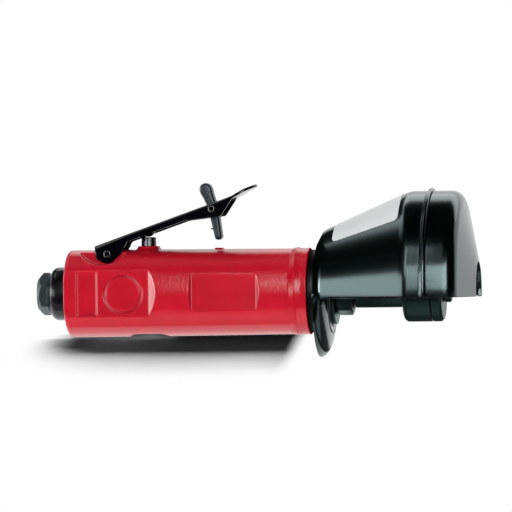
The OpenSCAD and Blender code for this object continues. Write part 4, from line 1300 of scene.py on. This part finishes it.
    def strip(self, inset: float) -> Outline:
        """The latch's outline, drawn in by an inset, in the lever's axes.

        Args:
            inset: How far it is drawn in.

        Returns:
            The closed outline, as u and n.
        """
        knob = polar(self.latch_at, self.knob_at, self.knob_turn)
        foot = polar(self.latch_at, self.leg_len, self.leg_turn)
        shares = [(0.0, self.hub_radius), (0.25, self.hub_radius), (0.5, self.neck_radius),
                  (0.62, self.neck_radius + 0.05), (0.74, self.neck_radius + 0.2),
                  (0.85, self.knob_radius - 0.08), (0.94, self.knob_radius)]
        upper = [(self.knob_at * share, half) for share, half in shares]
        lower = [(self.leg_len * share, self.leg_half(share)) for share in self.leg_steps]
        left, right = (self.flank(self.knob_turn, side, upper, inset) for side in (90, -90))
        low_left, low_right = (self.flank(self.leg_turn, side, lower, inset) for side in (-90, 90))
        top = arc(knob, self.knob_radius - inset, self.knob_turn - 80, self.knob_turn + 80, 14)
        end = arc(foot, self.foot_radius - inset, self.leg_turn - 90, self.leg_turn + 90, 14)
        return right + top + left[::-1] + low_left + end + low_right[::-1]

    def latch(self) -> Solid:
        """The moulded latch, in the lever's axes.

        Returns:
            The latch with its pin's hole.
        """
        rings = []
        half = self.latch_w / 2
        turns = [90 * i / 6 for i in range(7)]
        for side, angles in ((-1, turns), (1, turns[::-1])):
            for angle in angles:
                inset = self.latch_round * (1 - math.sin(math.radians(angle)))
                y = side * (half - self.latch_round * (1 - math.cos(math.radians(angle))))
                rings.append([(u, y, n) for u, n in self.strip(inset)])
        u, n = self.latch_at
        return Solid.loft(rings).cut(Solid.rod((u, -self.past, n), (u, self.past, n),
                                               self.latch_pin_radius + self.pin_gap, Sides.PIN))

    def spring_path(self) -> list[Vector]:
        """The latch spring: a leg under the web, its curls, and a hook behind the latch's leg.

        Returns:
            The middle of the wire, in the lever's axes.
        """
        u, n = self.latch_at
        end = self.leg_turn - 90
        count = self.curl_steps * self.coil_turns
        path = []
        for i in range(count + 1):
            p = polar((u, n), self.coil_radius, end - 360 * (self.coil_turns - i / self.curl_steps))
            path.append(Vector((p[0], self.coil_y[0] + (self.coil_y[1] - self.coil_y[0]) * i / count, p[1])))
        leg = [Vector((path[0].x - self.hook_at * s, path[0].y, path[0].z)) for s in (1.0, 0.6, 0.3)]
        behind = self.leg_half(self.hook_at / self.leg_len) + self.wire + self.hook_gap
        hook = polar(polar((u, n), self.hook_at, self.leg_turn), behind, end)
        bend = self.hook_bend
        down = Vector((hook[0], self.coil_y[1], hook[1]))
        line = (down - path[-1]).normalized()
        turn = [down - line * bend + line * bend * math.sin(a) - Vector((0, bend * (1 - math.cos(a)), 0))
                for a in (i * math.pi / 12 for i in range(7))]
        across = Vector((turn[-1].x, -self.latch_w / 2 - self.wire, turn[-1].z))
        straight = [path[-1].lerp(turn[0], s) for s in (0.3, 0.7)]
        return leg + path + straight + turn + [turn[-1].lerp(across, 0.5), across]

    def pin(self, shop: Shop, name: str, node: str, radius: float, bore: float, body: Body) -> None:
        """Places a pin with a bore in each end.

        Args:
            shop: Makes the pieces and knows the frame.
            name: The piece's name.
            node: The node that it stands for.
            radius: The pin's radius.
            bore: The radius of its bores.
            body: The body that carries it.
        """
        low, high = shop.box(node)
        x, z = (low.x + high.x) / 2, (low.z + high.z) / 2
        rim, middle = (radius - bore) / 2, (radius + bore) / 2
        start, end = low.y + rim, high.y - rim
        deep = self.pin_bore
        path = [(start + deep, 0), (start + deep, bore), (start, bore), (start, radius),
                (end, radius), (end, bore), (end - deep, bore), (end - deep, 0)]
        across = Matrix.Translation((x, 0, z)) @ Matrix.Rotation(math.radians(90), 4, "Z")
        # The pin's body shows only inside its bores and is painted near black as the shade down them; its
        # rims are steel.
        shop.place(name, Solid.spun(path, Sides.STEM).moved(across), Finish.PIN_BORE_SHADE, body, node, sharp=40)
        for side, at in (("near", start), ("far", end)):
            ring = Solid.spun(arc((at, middle), rim * 0.98, 0, 345, 24), Sides.STEM).moved(across)
            shop.place(f"{name}_{side}_rim", ring, Finish.PIN_STEEL, body)

    def stem(self, shop: Shop) -> None:
        """Places the valve's stem with its turned groove and chamfer.

        Args:
            shop: Makes the pieces and knows the frame.
        """
        low, high = shop.box("valve_stem")
        radius = (high.x - low.x) / 2
        tail, head = self.stem_tail
        outline = [(low.z, 0), (low.z, tail), (high.z - head, tail), (high.z - head, radius)]
        outline += [(high.z - down, radius - inward) for down, inward in self.stem_top] + [(high.z, 0)]
        up = Matrix.Translation(((low.x + high.x) / 2, 0, 0)) @ Matrix.Rotation(math.radians(-90), 4, "Y")
        solid = Solid.spun(outline, Sides.BORE).moved(up)
        shop.place("valve_stem_turned", solid, Finish.STEM_STEEL, Body.VALVE, "valve_stem", sharp=30)

    def build(self, shop: Shop) -> None:
        """Places the throttle's pieces.

        Args:
            shop: Makes the pieces and knows the frame.
        """
        axes = self.axes(shop)
        lever = self.lever().softened(*self.ease).moved(axes)
        shop.place("throttle_lever_pressing", lever, Finish.BLACK_LEVER, Body.LEVER, "throttle_lever")
        latch = self.latch().moved(axes)
        shop.place("lock_latch_moulding", latch, Finish.LATCH_RESIN, Body.LATCH, "lock_latch", sharp=50)
        self.pin(shop, "lever_roll_pin", "lever_pin", self.pin_radius, self.bores[0], Body.HANDLE)
        self.pin(shop, "latch_roll_pin", "latch_pin", self.latch_pin_radius, self.bores[1], Body.LEVER)
        self.stem(shop)
        path = [axes @ point for point in self.spring_path()]
        solid = Wire(self.wire, 10).mesh("latch_spring_wire", path, shop.materials[Finish.SPRING_STEEL])
        spring = shop.object("latch_spring_wire", solid, Finish.SPRING_STEEL)
        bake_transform(spring)
        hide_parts("latch_spring")
        log.info("latch_spring_wire: bends between lever and latch")


def ball(centre: Sequence[float], radius: float) -> Solid:
    """A ball of quads, closed at both poles."""
    outline = [polar((0, 0), radius, a) for a in range(180, -1, -6)]
    return Solid.spun(outline, Sides.STEM).moved(Matrix.Translation(centre))


@dataclass
class ValveSpring:
    """The throttle spring between the regulator and the ball."""

    radius: float = 2.6
    wire: float = 0.4
    curls: int = 4
    per_turn: int = 24

    def build(self, shop: Shop) -> None:
        """Places the spring.

        Args:
            shop: Makes the pieces and knows the frame.
        """
        low, high = shop.box("throttle_spring")
        x = (low.x + high.x) / 2
        start, end = low.z + self.wire, high.z - self.wire
        curl = helix(self.radius, (end - start) / self.curls, self.per_turn, self.per_turn * self.curls + 1)
        path = [Vector((x + u, y, start + up)) for up, u, y in curl]
        solid = Wire(self.wire, 8).mesh("throttle_spring_wire", path, shop.materials[Finish.SPRING_STEEL])
        spring = shop.place("throttle_spring_wire", solid, Finish.SPRING_STEEL, Body.HANDLE,
                            "throttle_spring")
        travel = shop.joint("valve_slide")["range_m"][1] / MM
        length = high.z - low.z
        (length - travel) / length
        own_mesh(spring)


@dataclass
class Guard:
    """The half guard: a rear shell with a hood and a lower lip, a front shell and a bare label."""

    wall: float = 1.8
    seat_wall: float = 2.4
    seat_radius: float = 15.0
    hole_radius: float = 7.65
    lip: Point = (19.6, 3.7)
    hood: Point = (25.2, 0.6)
    drum_back: float = 9.4
    drum_front: float = 11.6
    front_rise: float = 6.2
    front_hole: float = 11.5
    rim: Point = (27.4, 3.9)
    drop: float = 3.1
    dish_drop: float = 1.0
    corner: Point = (-40.9, 3.3)
    groove: tuple[float, float, float] = (17.5, 18.3, 0.7)
    seam_x: float = 1.2
    outer_radius: float = 42.0
    bead: Point = (1.5, 1.2)
    label_x: Point = (-40.4, -11.4)
    label_turn: float = 43.0
    label_corner: float = 2.2
    label_lift: float = 0.12
    label_grid: tuple[int, int] = (44, 60)
    label_slant: float = 0.44
    label_thin: Point = (0.05, 0.9955)
    upper_rounds: tuple[float, ...] = (0.0, 1.4, 1.4, 3.6, 9.0, 0.0)
    front_round: float = 5.0
    front_gap: float = 0.05
    bead_rounds: Point = (0.35, 0.6)
    bead_foot: float = 0.8
    web_rise: float = 0.6
    seat_gap: float = 0.03
    room: tuple[float, float, float, float] = (-80.0, 60.0, 60.0, 70.0)
    rear_ease: Ease = (0.26, 5, 190_000)
    front_ease: Ease = (0.24, 4, 120_000)

    def upper_path(self, seat: float) -> Outline:
        """The middle of the upper wall, as x and radius, from the seat to the seam.

        Args:
            seat: The x of the guard's seat.

        Returns:
            The path.
        """
        middle = self.outer_radius - self.wall / 2
        start = seat + self.wall / 2
        corners = [(start, self.hole_radius), (start, self.seat_radius), (seat - self.lip[1], self.lip[0]),
                   (seat - self.hood[1], self.hood[0]), (self.seam_x - self.drum_back, middle),
                   (self.seam_x, middle)]
        return rounded(corners, self.upper_rounds, 10)

    def lower_path(self, seat: float) -> Outline:
        """The middle of the lower lip, as x and radius.

        Args:
            seat: The x of the guard's seat.

        Returns:
            The path.
        """
        start, back = seat + self.wall / 2, seat - self.rim[1]
        rise = self.rim[0] - self.seat_radius
        quarter = [polar((0, 0), 1.0, a) for a in range(0, 91, 6)]
        dish = [(back + (start - back) * u, self.seat_radius + rise * v) for u, v in quarter]
        return [(start, self.hole_radius)] + dish

    def front_path(self) -> Outline:
        """The middle of the front shell, as x and radius.

        Returns:
            The path, from the seam to the hole.
        """
        middle = self.outer_radius - self.wall / 2
        corner = self.seam_x + self.drum_front
        return rounded([(self.seam_x, middle), (corner, middle), (corner + self.front_rise, self.front_hole)],
                       [0, self.front_round, 0], 12)

    def slab(self, low: float, high: float) -> Solid:
        """All the room between two heights."""
        back, front, half, _ = self.room
        return Solid.block((back, -half, low), (front, half, high))

    def above(self) -> Solid:
        """The room over the guard's cut edge."""
        return self.slab(-self.drop, self.room[3])

    def rear_shell(self, seat: float) -> Solid:
        """The hood with its bead, seat and lower lip.

        Args:
            seat: The x of the guard's seat.

        Returns:
            The shell with sharp edges.
        """
        hood = Solid.spun(skin(self.upper_path(seat), self.wall), Sides.SHELL)
        wide, high = self.bead
        inner = self.outer_radius - self.wall / 2
        bead = rounded([(self.seam_x, inner), (self.seam_x, self.outer_radius + high),
                        (self.seam_x - wide, self.outer_radius + high),
                        (self.seam_x - wide - self.bead_foot, inner)], [0, *self.bead_rounds, 0])
        lip = Solid.spun(skin(self.lower_path(seat), self.wall), Sides.SHELL)
        plate_end = seat + self.seat_wall
        plate = Solid.spun([(seat, self.hole_radius), (seat, self.seat_radius), (plate_end, self.seat_radius),
                            (plate_end, self.hole_radius)], Sides.RING)
        x, turn = self.corner
        top, half = self.web_rise - self.drop, self.room[2]
        web = [(-half, top), (x, top)] + arc((x, -self.drop - turn), turn, 90, 180, 8)
        web = hood.common(Solid.prism(web + [(-half, -self.drop - turn)], -half, half))
        low, high, deep = self.groove
        face = offset(self.lower_path(seat), -self.wall / 2)
        front = height_at([(r, x) for x, r in face], (low + high) / 2)
        ring = [(front - deep, low), (front - deep, high), (front + 2, high), (front + 2, low)]
        lip = lip.common(self.slab(-self.room[3], -self.dish_drop)).cut(Solid.spun(ring, Sides.RING))
        return hood.join(Solid.spun(bead, Sides.SHELL)).common(self.above()).join(web, lip, plate)

    def label(self, seat: float) -> Solid:
        """The bare label that follows the cone.

        Args:
            seat: The x of the guard's seat.

        Returns:
            The thin film.
        """
        path = offset(self.upper_path(seat), self.wall / 2 + self.label_lift)
        path = [p for p in path if p[1] > self.hood[0]]
        start, end = self.label_x
        rows, columns = self.label_grid
        corner, stretch = self.label_corner, math.hypot(1, self.label_slant)
        ahead, thin = self.label_thin
        rings = []
        for i in range(rows + 1):
            share = (1 - math.cos(math.pi * i / rows)) / 2
            x = start + (end - start) * share
            radius = height_at(path, x)
            slant = (end - start) * share * stretch
            edge = min(slant, (end - start) * stretch - slant)
            cut = corner - math.sqrt(max(corner ** 2 - max(corner - edge, 0) ** 2, 0))
            half = math.radians(self.label_turn) - cut / radius
            turns = [half * (2 * k / columns - 1) for k in range(columns + 1)]
            top = [(x, -radius * math.sin(turn), radius * math.cos(turn)) for turn in turns]
            rings.append(top + [(x + ahead, y * thin, z * thin) for x, y, z in top[::-1]])
        return Solid.loft(rings)

    def build(self, shop: Shop) -> None:
        """Places the guard's pieces.

        Args:
            shop: Makes the pieces and knows the frame.
        """
        seat = shop.box("guard_washer")[0].x - self.seat_wall - self.seat_gap
        rear = self.rear_shell(seat).softened(*self.rear_ease)
        shop.place("guard_rear_pressing", rear, Finish.BLACK_GUARD, Body.GUARD, "guard_rear_shell")
        front = Solid.spun(skin(self.front_path(), self.wall), Sides.SHELL).common(self.above())
        front = front.moved(Matrix.Translation((self.front_gap, 0, 0))).softened(*self.front_ease)
        shop.place("guard_front_pressing", front, Finish.BLACK_GUARD, Body.GUARD, "guard_front_shell")
        shop.place("guard_bare_label", self.label(seat), Finish.LABEL_FILM, Body.GUARD, sharp=50)


@dataclass
class WheelEnd:
    """The front cap, the guard's washer and nut, the spindle, the flanges and the arbor screw."""

    flange_round: float = 2.4
    flange_edge: float = 0.5
    chamfer: float = 1.0
    nut_flats: float = 19.2
    nut_turn: float = -41.0
    screw_flats: float = 9.5
    screw_turn: float = 10.0
    screw_radius: float = 3.0
    cone: float = 30.0
    cap_flange: float = 17.6
    cap_flange_t: float = 3.0
    shoulder: float = 12.5
    shoulder_len: float = 4.5
    nose: float = 7.6
    nose_bore: float = 5.3
    spindle_radius: float = 7.3
    pilot: float = 4.76
    slit: float = 0.55
    spigot: float = 14.9
    journal: float = 5.0
    tail_bore: float = 3.6
    screw_hole: float = 3.1
    flange_hole: float = 5.05
    seat_depth: float = 4.0
    gap: float = 0.03
    nose_gap: float = 0.4
    nut_ease: Ease = (0.13, 3, 50_000)
    screw_ease: Ease = (0.11, 3, 40_000)

    def turned(self, shop: Shop, node: str, body: Body, path: Outline, radii: Sequence[float],
               finish: Finish = Finish.BLACK_OXIDE) -> None:
        """Places the turned piece of a node, whose outline is closed on the axis side."""
        solid = Solid.spun(rounded(path, radii, 8), Sides.RING)
        shop.place(node + "_turned", solid, finish, body, node, sharp=40)

    def build(self, shop: Shop) -> None:
        """Places the wheel end's pieces.

        Args:
            shop: Makes the pieces and knows the frame.
        """
        edge = self.flange_edge
        low, high = shop.box("front_cap")
        front = shop.box("housing")[1].x
        back, step = front + self.gap, front + self.cap_flange_t
        seat = step + self.shoulder_len - self.gap
        self.turned(shop, "front_cap", Body.HANDLE,
                    [(low.x, self.nose_bore), (low.x, self.spigot), (back, self.spigot),
                     (back, self.cap_flange), (step, self.cap_flange), (step, self.shoulder),
                     (seat, self.shoulder), (seat, self.nose), (high.x, self.nose), (high.x, self.nose_bore)],
                    [0, 0.4, 0, edge, edge, 0.3, 0.2, 0, 0.4, 0], Finish.BLACK_CAP)
        nose = high.x + self.nose_gap
        low, high = shop.box("guard_washer")
        self.turned(shop, "guard_washer", Body.HANDLE,
                    [(low.x, self.nose), (low.x, high.y), (high.x, high.y), (high.x, self.nose)],
                    [0, 0.25, 0.3, 0])
        low, high = shop.box("guard_nut")
        nut = hex_bar(low.x, high.x, self.nut_flats, self.nut_turn, (self.cone, self.cone))
        nut = nut.cut(Solid.rod((low.x - 1, 0, 0), (high.x + 1, 0, 0), self.nose, Sides.BORE))
        nut = nut.softened(*self.nut_ease)
        shop.place("guard_nut_hex", nut, Finish.BLACK_OXIDE, Body.HANDLE, "guard_nut")
        low, high = shop.box("spindle")
        stop = shop.box("inner_flange")[0].x - self.gap
        self.turned(shop, "spindle", Body.SPINDLE,
                    [(low.x, self.tail_bore), (low.x, self.journal), (nose, self.journal),
                     (nose, self.spindle_radius), (stop, self.spindle_radius), (stop, self.journal),
                     (high.x, self.journal), (high.x, self.screw_hole)],
                    [0, 0.3, 0, 0.5, 0.3, 0, 0.3, 0])
        low, high = shop.box("inner_flange")
        deep, gap = high.x - self.seat_depth, high.x + self.slit
        self.turned(shop, "inner_flange", Body.SPINDLE,
                    [(low.x, self.flange_hole), (low.x, high.y), (high.x, high.y), (high.x, self.screw_hole),
                     (deep, self.screw_hole), (deep, self.flange_hole)],
                    [0, self.flange_round, 0.15, 0, 0, 0])
        low, high = shop.box("outer_flange")
        self.turned(shop, "outer_flange", Body.SPINDLE,
                    [(low.x, self.screw_hole), (low.x, self.pilot), (gap, self.pilot), (gap, high.y),
                     (high.x - self.chamfer, high.y), (high.x, high.y - self.chamfer),
                     (high.x, self.screw_hole)],
                    [0, 0.2, 0, 0.15, 0.35, 0.35, 0])
        head = high.x + self.gap
        low, high = shop.box("arbor_screw")
        hexagon = hex_bar(head, high.x, self.screw_flats, self.screw_turn, (self.cone, self.cone))
        shank = Solid.rod((low.x, 0, 0), (head + 1, 0, 0), self.screw_radius, Sides.STEM)
        screw = hexagon.join(shank).softened(*self.screw_ease)
        shop.place("arbor_screw_hex", screw, Finish.BLACK_OXIDE, Body.SPINDLE, "arbor_screw")


class Insides:
    """The nodes of the frame that keep their own shape."""

    FINISHES = {
        Finish.BRIGHT_STEEL: ("regulator_clip", "inlet_screen", "motor_dowel"),
        Finish.BEARING_STEEL: ("rear_bearing_outer", "rear_bearing_inner", "rear_bearing_balls",
                               "front_bearing_outer", "front_bearing_inner", "front_bearing_balls",
                               "valve_ball"),
        Finish.MOTOR_IRON: ("rear_end_plate", "motor_cylinder", "front_end_plate", "rotor",
                            "regulator_screw"),
        Finish.BUSH_BRASS: ("stem_bush",),
        Finish.SEAL_RUBBER: ("inlet_seal", "regulator_seal", "valve_seat"),
        Finish.VANE_RESIN: ("rotor_vanes",),
        Finish.MUFFLER_FELT: ("muffler_ring",),
    }

    def build(self, shop: Shop) -> None:
        """Dresses the nodes."""
        for finish, nodes in self.FINISHES.items():
            shop.dress(finish, *nodes)


@dataclass(frozen=True)
class Lamp:
    """A soft lamp: its place and size in metres, and how bright its face is, where 1 is white."""

    name: str
    place: tuple[float, float, float]
    size: Point
    radiance: float
    in_gloss: bool = True
    floor: bool = False


class Edge(Enum):
    """The axes that the first edge of a card moves along; its second edge moves along the rest."""

    X = "x"
    XY = "xy"
    XZ = "xz"


@dataclass(frozen=True)
class Card:
    """A flat card between two opposite corners, in metres, that only gloss sees: a glowing sheet that paints
    a highlight into reflections, or at level 0 a black sheet that paints a dark reflection.

    The fade gives the y where it starts to brighten from black, and the y where it is at its level.
    """

    name: str
    low: Place
    high: Place
    level: float = 0.0
    fade: Point | None = None
    edge: Edge = Edge.X

    def corner(self, first: bool, second: bool) -> list[float]:
        """The corner at the start or the end of each edge."""
        ends = [first if axis in self.edge.value else second for axis in "xyz"]
        return [high if end else low for end, low, high in zip(ends, self.low, self.high)]

    def corners(self) -> list[list[float]]:
        """The four corners, in order."""
        return [self.corner(*ends) for ends in ((False, False), (True, False), (True, True), (False, True))]


@dataclass
class Studio:
    """The floor, the lights and the camera."""

    LAMPS: ClassVar[tuple[Lamp, ...]] = (
        Lamp("guard_softbox", (0.205, -1.1, 0.30), (0.74, 0.60), 5.4),
        Lamp("cone_softbox", (-0.93, -0.81, 0.10), (0.92, 0.5), 3.2),
        Lamp("left_softbox", (-1.33, 0.42, 0.0), (0.8, 0.5), 4.2),
        Lamp("under_fill", (-0.1, -0.3, -1.0), (1.2, 0.6), 5.3, False),
        Lamp("top_fill", (-0.1, 0.1, 1.3), (1.0, 0.6), 5.6, False),
        Lamp("floor_softbox", (-0.1, 0.77, 1.1), (1.5, 0.8), 20.5, False, True),
    )
    # Cards that only gloss sees: glowing ones paint highlights, black ones (no level) paint dark reflections.
    CARDS: ClassVar[tuple[Card, ...]] = (
        Card("overhead_card", (-1.3, -1.1, 0.95), (1.3, 1.6, 0.95), 1.9, (0.55, 0.8)),
        Card("lever_card", (-0.75, -0.6, 0.93), (-0.45, 1.0, 0.93), 2.4, (-0.5, 0.4)),
        Card("cover_card", (-1.5, 0.3, 0.92), (-0.48, 1.7, 0.92)),
        Card("shade_card", (-2.6, -1.7, 0.94), (-1.29, 0.3, 0.94)),
        Card("sparkle_card", (-0.30, -0.55, 0.27), (-0.144, -0.55, 0.92), 0.2),
        Card("glint_card", (-0.144, -0.55, 0.17), (-0.118, -0.55, 0.66), 8.0),
        Card("cap_card", (-0.0514, -0.0245, -0.045), (-0.0514, 0.0245, 0.03), edge=Edge.XY),
        Card("right_card", (1.3, -1.7, -0.8), (1.3, 0.4, 1.2), edge=Edge.XY),
        Card("left_card", (-1.068, -0.254, -0.22), (-1.10, -0.02, 0.22), 15.0, edge=Edge.XY),
        Card("dish_card", (-0.042, -0.15, -0.0300), (-0.026, 0.12, -0.0415), 0.04, edge=Edge.XZ),
        Card("nose_card", (-0.026, -0.15, -0.0415), (0.6, 0.0, -0.0415), 0.6),
        Card("beyond_card", (-0.026, 0.0, -0.0415), (0.6, 0.12, -0.0415), 0.08),
        Card("near_card", (-0.3, -0.03, -0.0225), (-0.06, -0.011, -0.0185), 0.45),
        Card("under_card", (-0.3, -0.011, -0.0185), (-0.06, 0.03, -0.0140), 1.5),
        Card("front_card", (-2.5, -1.7, -0.8), (2.5, -1.7, 1.9)),
    )
    COARSE: ClassVar[tuple[float, ...]] = (-4, -2.5, -1.5, -0.9, -0.5, -0.32, 0.24, 0.4, 0.8, 1.5, 2.5, 4)
    GRIDS: ClassVar[tuple[tuple[float, int, int], ...]] = (
        (0.01, -24, 17), (0.0005, -112, -88), (0.001, -12, 24))

    aim: Place = (-0.0754, 0.0, 0.0152)
    azimuth: float = 8.0
    elevation: float = 0.0
    roll: float = -0.7
    distance: float = 2.6
    lens: float = 429.0
    sensor: float = 36.0
    sight: float = 50.0
    floor_z: float = -0.01895
    step_z: float = -0.0293
    hollow_z: float = -0.0465
    step_x: Point = (-0.0535, -0.0498)
    hollow_x: Point = (-0.0498, -0.0220)
    fall: float = 0.22
    fall_at: float = -0.002
    fall_round: float = 0.003
    bank: Place = (0.002, 0.0095, 0.0020)
    pool_at: Point = (-0.11, -0.02)
    pool_size: Point = (0.16, 0.065)
    pool_fade: Point = (0.6, 1.0)
    edge_fade: Point = (-0.007, 0.001)
    tail_x: Point = (0.150, 0.178)
    grey: float = 0.5
    fill: float = 0.06
    table_x: float = 2.5
    table_y: Point = (-0.03, -1.7)
    table_lift: float = 0.003

    def camera(self) -> None:
        """Sets the camera at the photograph's viewing angle."""
        data = bpy.data.cameras.new("camera")
        data.sensor_width = self.sensor
        data.lens = self.lens
        data.clip_end = self.sight
        made = added("camera", data)
        turn, rise = math.radians(self.azimuth), math.radians(self.elevation)
        back = Vector((math.sin(turn) * math.cos(rise), -math.cos(turn) * math.cos(rise), math.sin(rise)))
        look = (-back).to_track_quat("-Z", "Y").to_matrix().to_4x4()
        place = Matrix.Translation(Vector(self.aim) + back * self.distance)
        made.matrix_world = place @ look @ Matrix.Rotation(math.radians(self.roll), 4, "Z")
        bpy.context.scene.camera = made

    def floor_height(self, x: float, y: float) -> float:
        """The floor under a place: level under the handle, hollow under the guard, falling to the front.

        Args:
            x: The place along the tool, in metres.
            y: The place across it.

        Returns:
            The height, in metres.
        """
        level = self.floor_z + (self.step_z - self.floor_z) * eased(x, *self.step_x)
        level += (self.hollow_z - self.step_z) * eased(x, *self.hollow_x)
        start, end, rise = self.bank
        ahead = y - self.fall_at
        fall = self.fall * (math.hypot(ahead, self.fall_round) - ahead) / 2
        return level + rise * eased(y, start, end) - fall

    def floor(self) -> bpy.types.Object:
        """Builds the pale floor, with a finer grid near the object.

        Returns:
            The floor.
        """
        even, fine_x, fine_y = ([i * step for i in range(first, last)] for step, first, last in self.GRIDS)
        across = sorted({*self.COARSE, *even, *fine_x})
        deep = sorted({*self.COARSE, *even, *fine_y})
        points = [(x, y, self.floor_height(x, y)) for x in across for y in deep]
        size = len(deep)
        faces = [(i * size + k, (i + 1) * size + k, (i + 1) * size + k + 1, i * size + k + 1)
                 for i in range(len(across) - 1) for k in range(size - 1)]
        mesh = bpy.data.meshes.new("floor")
        mesh.from_pydata(points, [], faces)
        mesh.shade_smooth()
        made = added("floor", mesh)
        mesh.materials.append(self.floor_material())
        return made

    def seen(self, graph: Graph, shown: Any) -> Value:
        """How much of the plain white a ray gets.

        Args:
            graph: The tree that asks.
            shown: The share that the camera gets.

        Returns:
            1 off gloss and through glass, the share for the camera, and 0 for other rays.
        """
        path = graph.node("ShaderNodeLightPath").outputs
        camera, gloss, glass = (Value(graph, path[name]) for name in
                                ("Is Camera Ray", "Is Glossy Ray", "Is Transmission Ray"))
        return 1.0 - (1.0 - camera * shown) * (1.0 - gloss) * (1.0 - glass)

    def floor_material(self) -> bpy.types.Material:
        """A white floor that keeps the shadow near the handle and fades to plain white.

        Returns:
            The material.
        """
        graph = Graph(bpy.data.materials.new("studio_floor"))
        x, y, _ = graph.parts()
        along, deep = ((way - at) * (1 / size) for way, at, size in zip((x, y), self.pool_at, self.pool_size))
        away = ((along * along + deep * deep) ** 0.5).between(*self.pool_fade)
        edge = x.between(*(self.step_x[0] + reach for reach in self.edge_fade))
        rear = (x * -1.0).between(*self.tail_x)
        shown = 1.0 - (1.0 - away) * (1.0 - edge) * (1.0 - rear)
        lit = graph.node("ShaderNodeBsdfDiffuse", None, {"Color": opaque((self.grey,) * 3)})
        plain = graph.node("ShaderNodeEmission", None, {"Color": opaque((1, 1, 1)), "Strength": 1.0})
        graph.blend(self.seen(graph, shown), lit, plain)
        return graph.owner

    def world(self) -> None:
        """A white surround for what shows it, and a soft fill for the rest."""
        made = bpy.data.worlds.new("studio")
        bpy.context.scene.world = made
        graph = Graph(made)
        fill, white = (graph.node("ShaderNodeBackground", None,
                                  {"Color": opaque((1, 1, 1)), "Strength": level})
                       for level in (self.fill, 1.0))
        graph.blend(self.seen(graph, 1.0), fill, white)

    def group(self, name: str, floor: bpy.types.Object, state: str) -> bpy.types.Collection:
        """A group that a lamp lights the floor by, or leaves it out by.

        Args:
            name: The group's name.
            floor: The floor.
            state: Whether the lamp's light includes or excludes it.

        Returns:
            The group.
        """
        made = bpy.data.collections.new(name)
        made.objects.link(floor)
        made.collection_objects[0].light_linking.link_state = state
        return made

    def softbox(self, lamp: Lamp, group: bpy.types.Collection) -> None:
        """Places a soft lamp that faces the object.

        Args:
            lamp: What the lamp is like.
            group: What it lights or leaves out.
        """
        data = bpy.data.lights.new(lamp.name, "AREA")
        data.shape = "RECTANGLE"
        data.size, data.size_y = lamp.size
        data.energy = lamp.radiance * math.pi * lamp.size[0] * lamp.size[1]
        made = added(lamp.name, data)
        made.location = lamp.place
        made.rotation_euler = (Vector(self.aim) - Vector(lamp.place)).to_track_quat("-Z", "Y").to_euler()
        made.visible_camera = False
        made.visible_glossy = lamp.in_gloss
        made.light_linking.receiver_collection = group
        made.light_linking.blocker_collection = None if lamp.floor else group

    def card(self, card: Card) -> None:
        """Places a card, a painted highlight or a painted dark reflection.

        Args:
            card: What the card is like.
        """
        mesh = bpy.data.meshes.new(card.name)
        mesh.from_pydata(card.corners(), [], [(0, 1, 2, 3)])
        graph = Graph(bpy.data.materials.new(card.name))
        colour: Any = opaque((1, 1, 1))
        if card.fade:
            colour = graph.mixed(graph.parts()[1].between(*card.fade), opaque((0, 0, 0)), colour)
        graph.surface(graph.node("ShaderNodeEmission", None, {"Color": colour, "Strength": card.level}))
        mesh.materials.append(graph.owner)
        made = added(card.name, mesh)
        made.visible_camera = made.visible_diffuse = made.visible_shadow = made.visible_transmission = False

    def table(self) -> Card:
        """The dark card that lies just over the floor in front of the object and paints the floor's
        reflection there dark.

        Returns:
            The card.
        """
        low, high = ((side * self.table_x, y, self.floor_height(-1, y) + self.table_lift)
                     for side, y in zip((-1, 1), self.table_y))
        return Card("table_card", low, high)

    def build(self) -> None:
        """Sets the stage."""
        bpy.context.scene.view_settings.view_transform = "Standard"
        self.camera()
        floor = self.floor()
        self.world()
        spared = self.group("floor_spared", floor, "EXCLUDE")
        alone = self.group("floor_alone", floor, "INCLUDE")
        for lamp in self.LAMPS:
            self.softbox(lamp, alone if lamp.floor else spared)
        for card in (*self.CARDS, self.table()):
            self.card(card)


def main() -> None:
    """Builds every piece round the frame."""
    logging.basicConfig(level=logging.INFO, format="%(name)s: %(message)s")
    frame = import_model()
    shop = Shop(frame)
    Studio().build()
    for part in (Handle(), AirInlet(), Throttle(), ValveSpring(), Guard(), WheelEnd(), Insides()):
        part.build(shop)


if __name__ == "__main__":
    main()
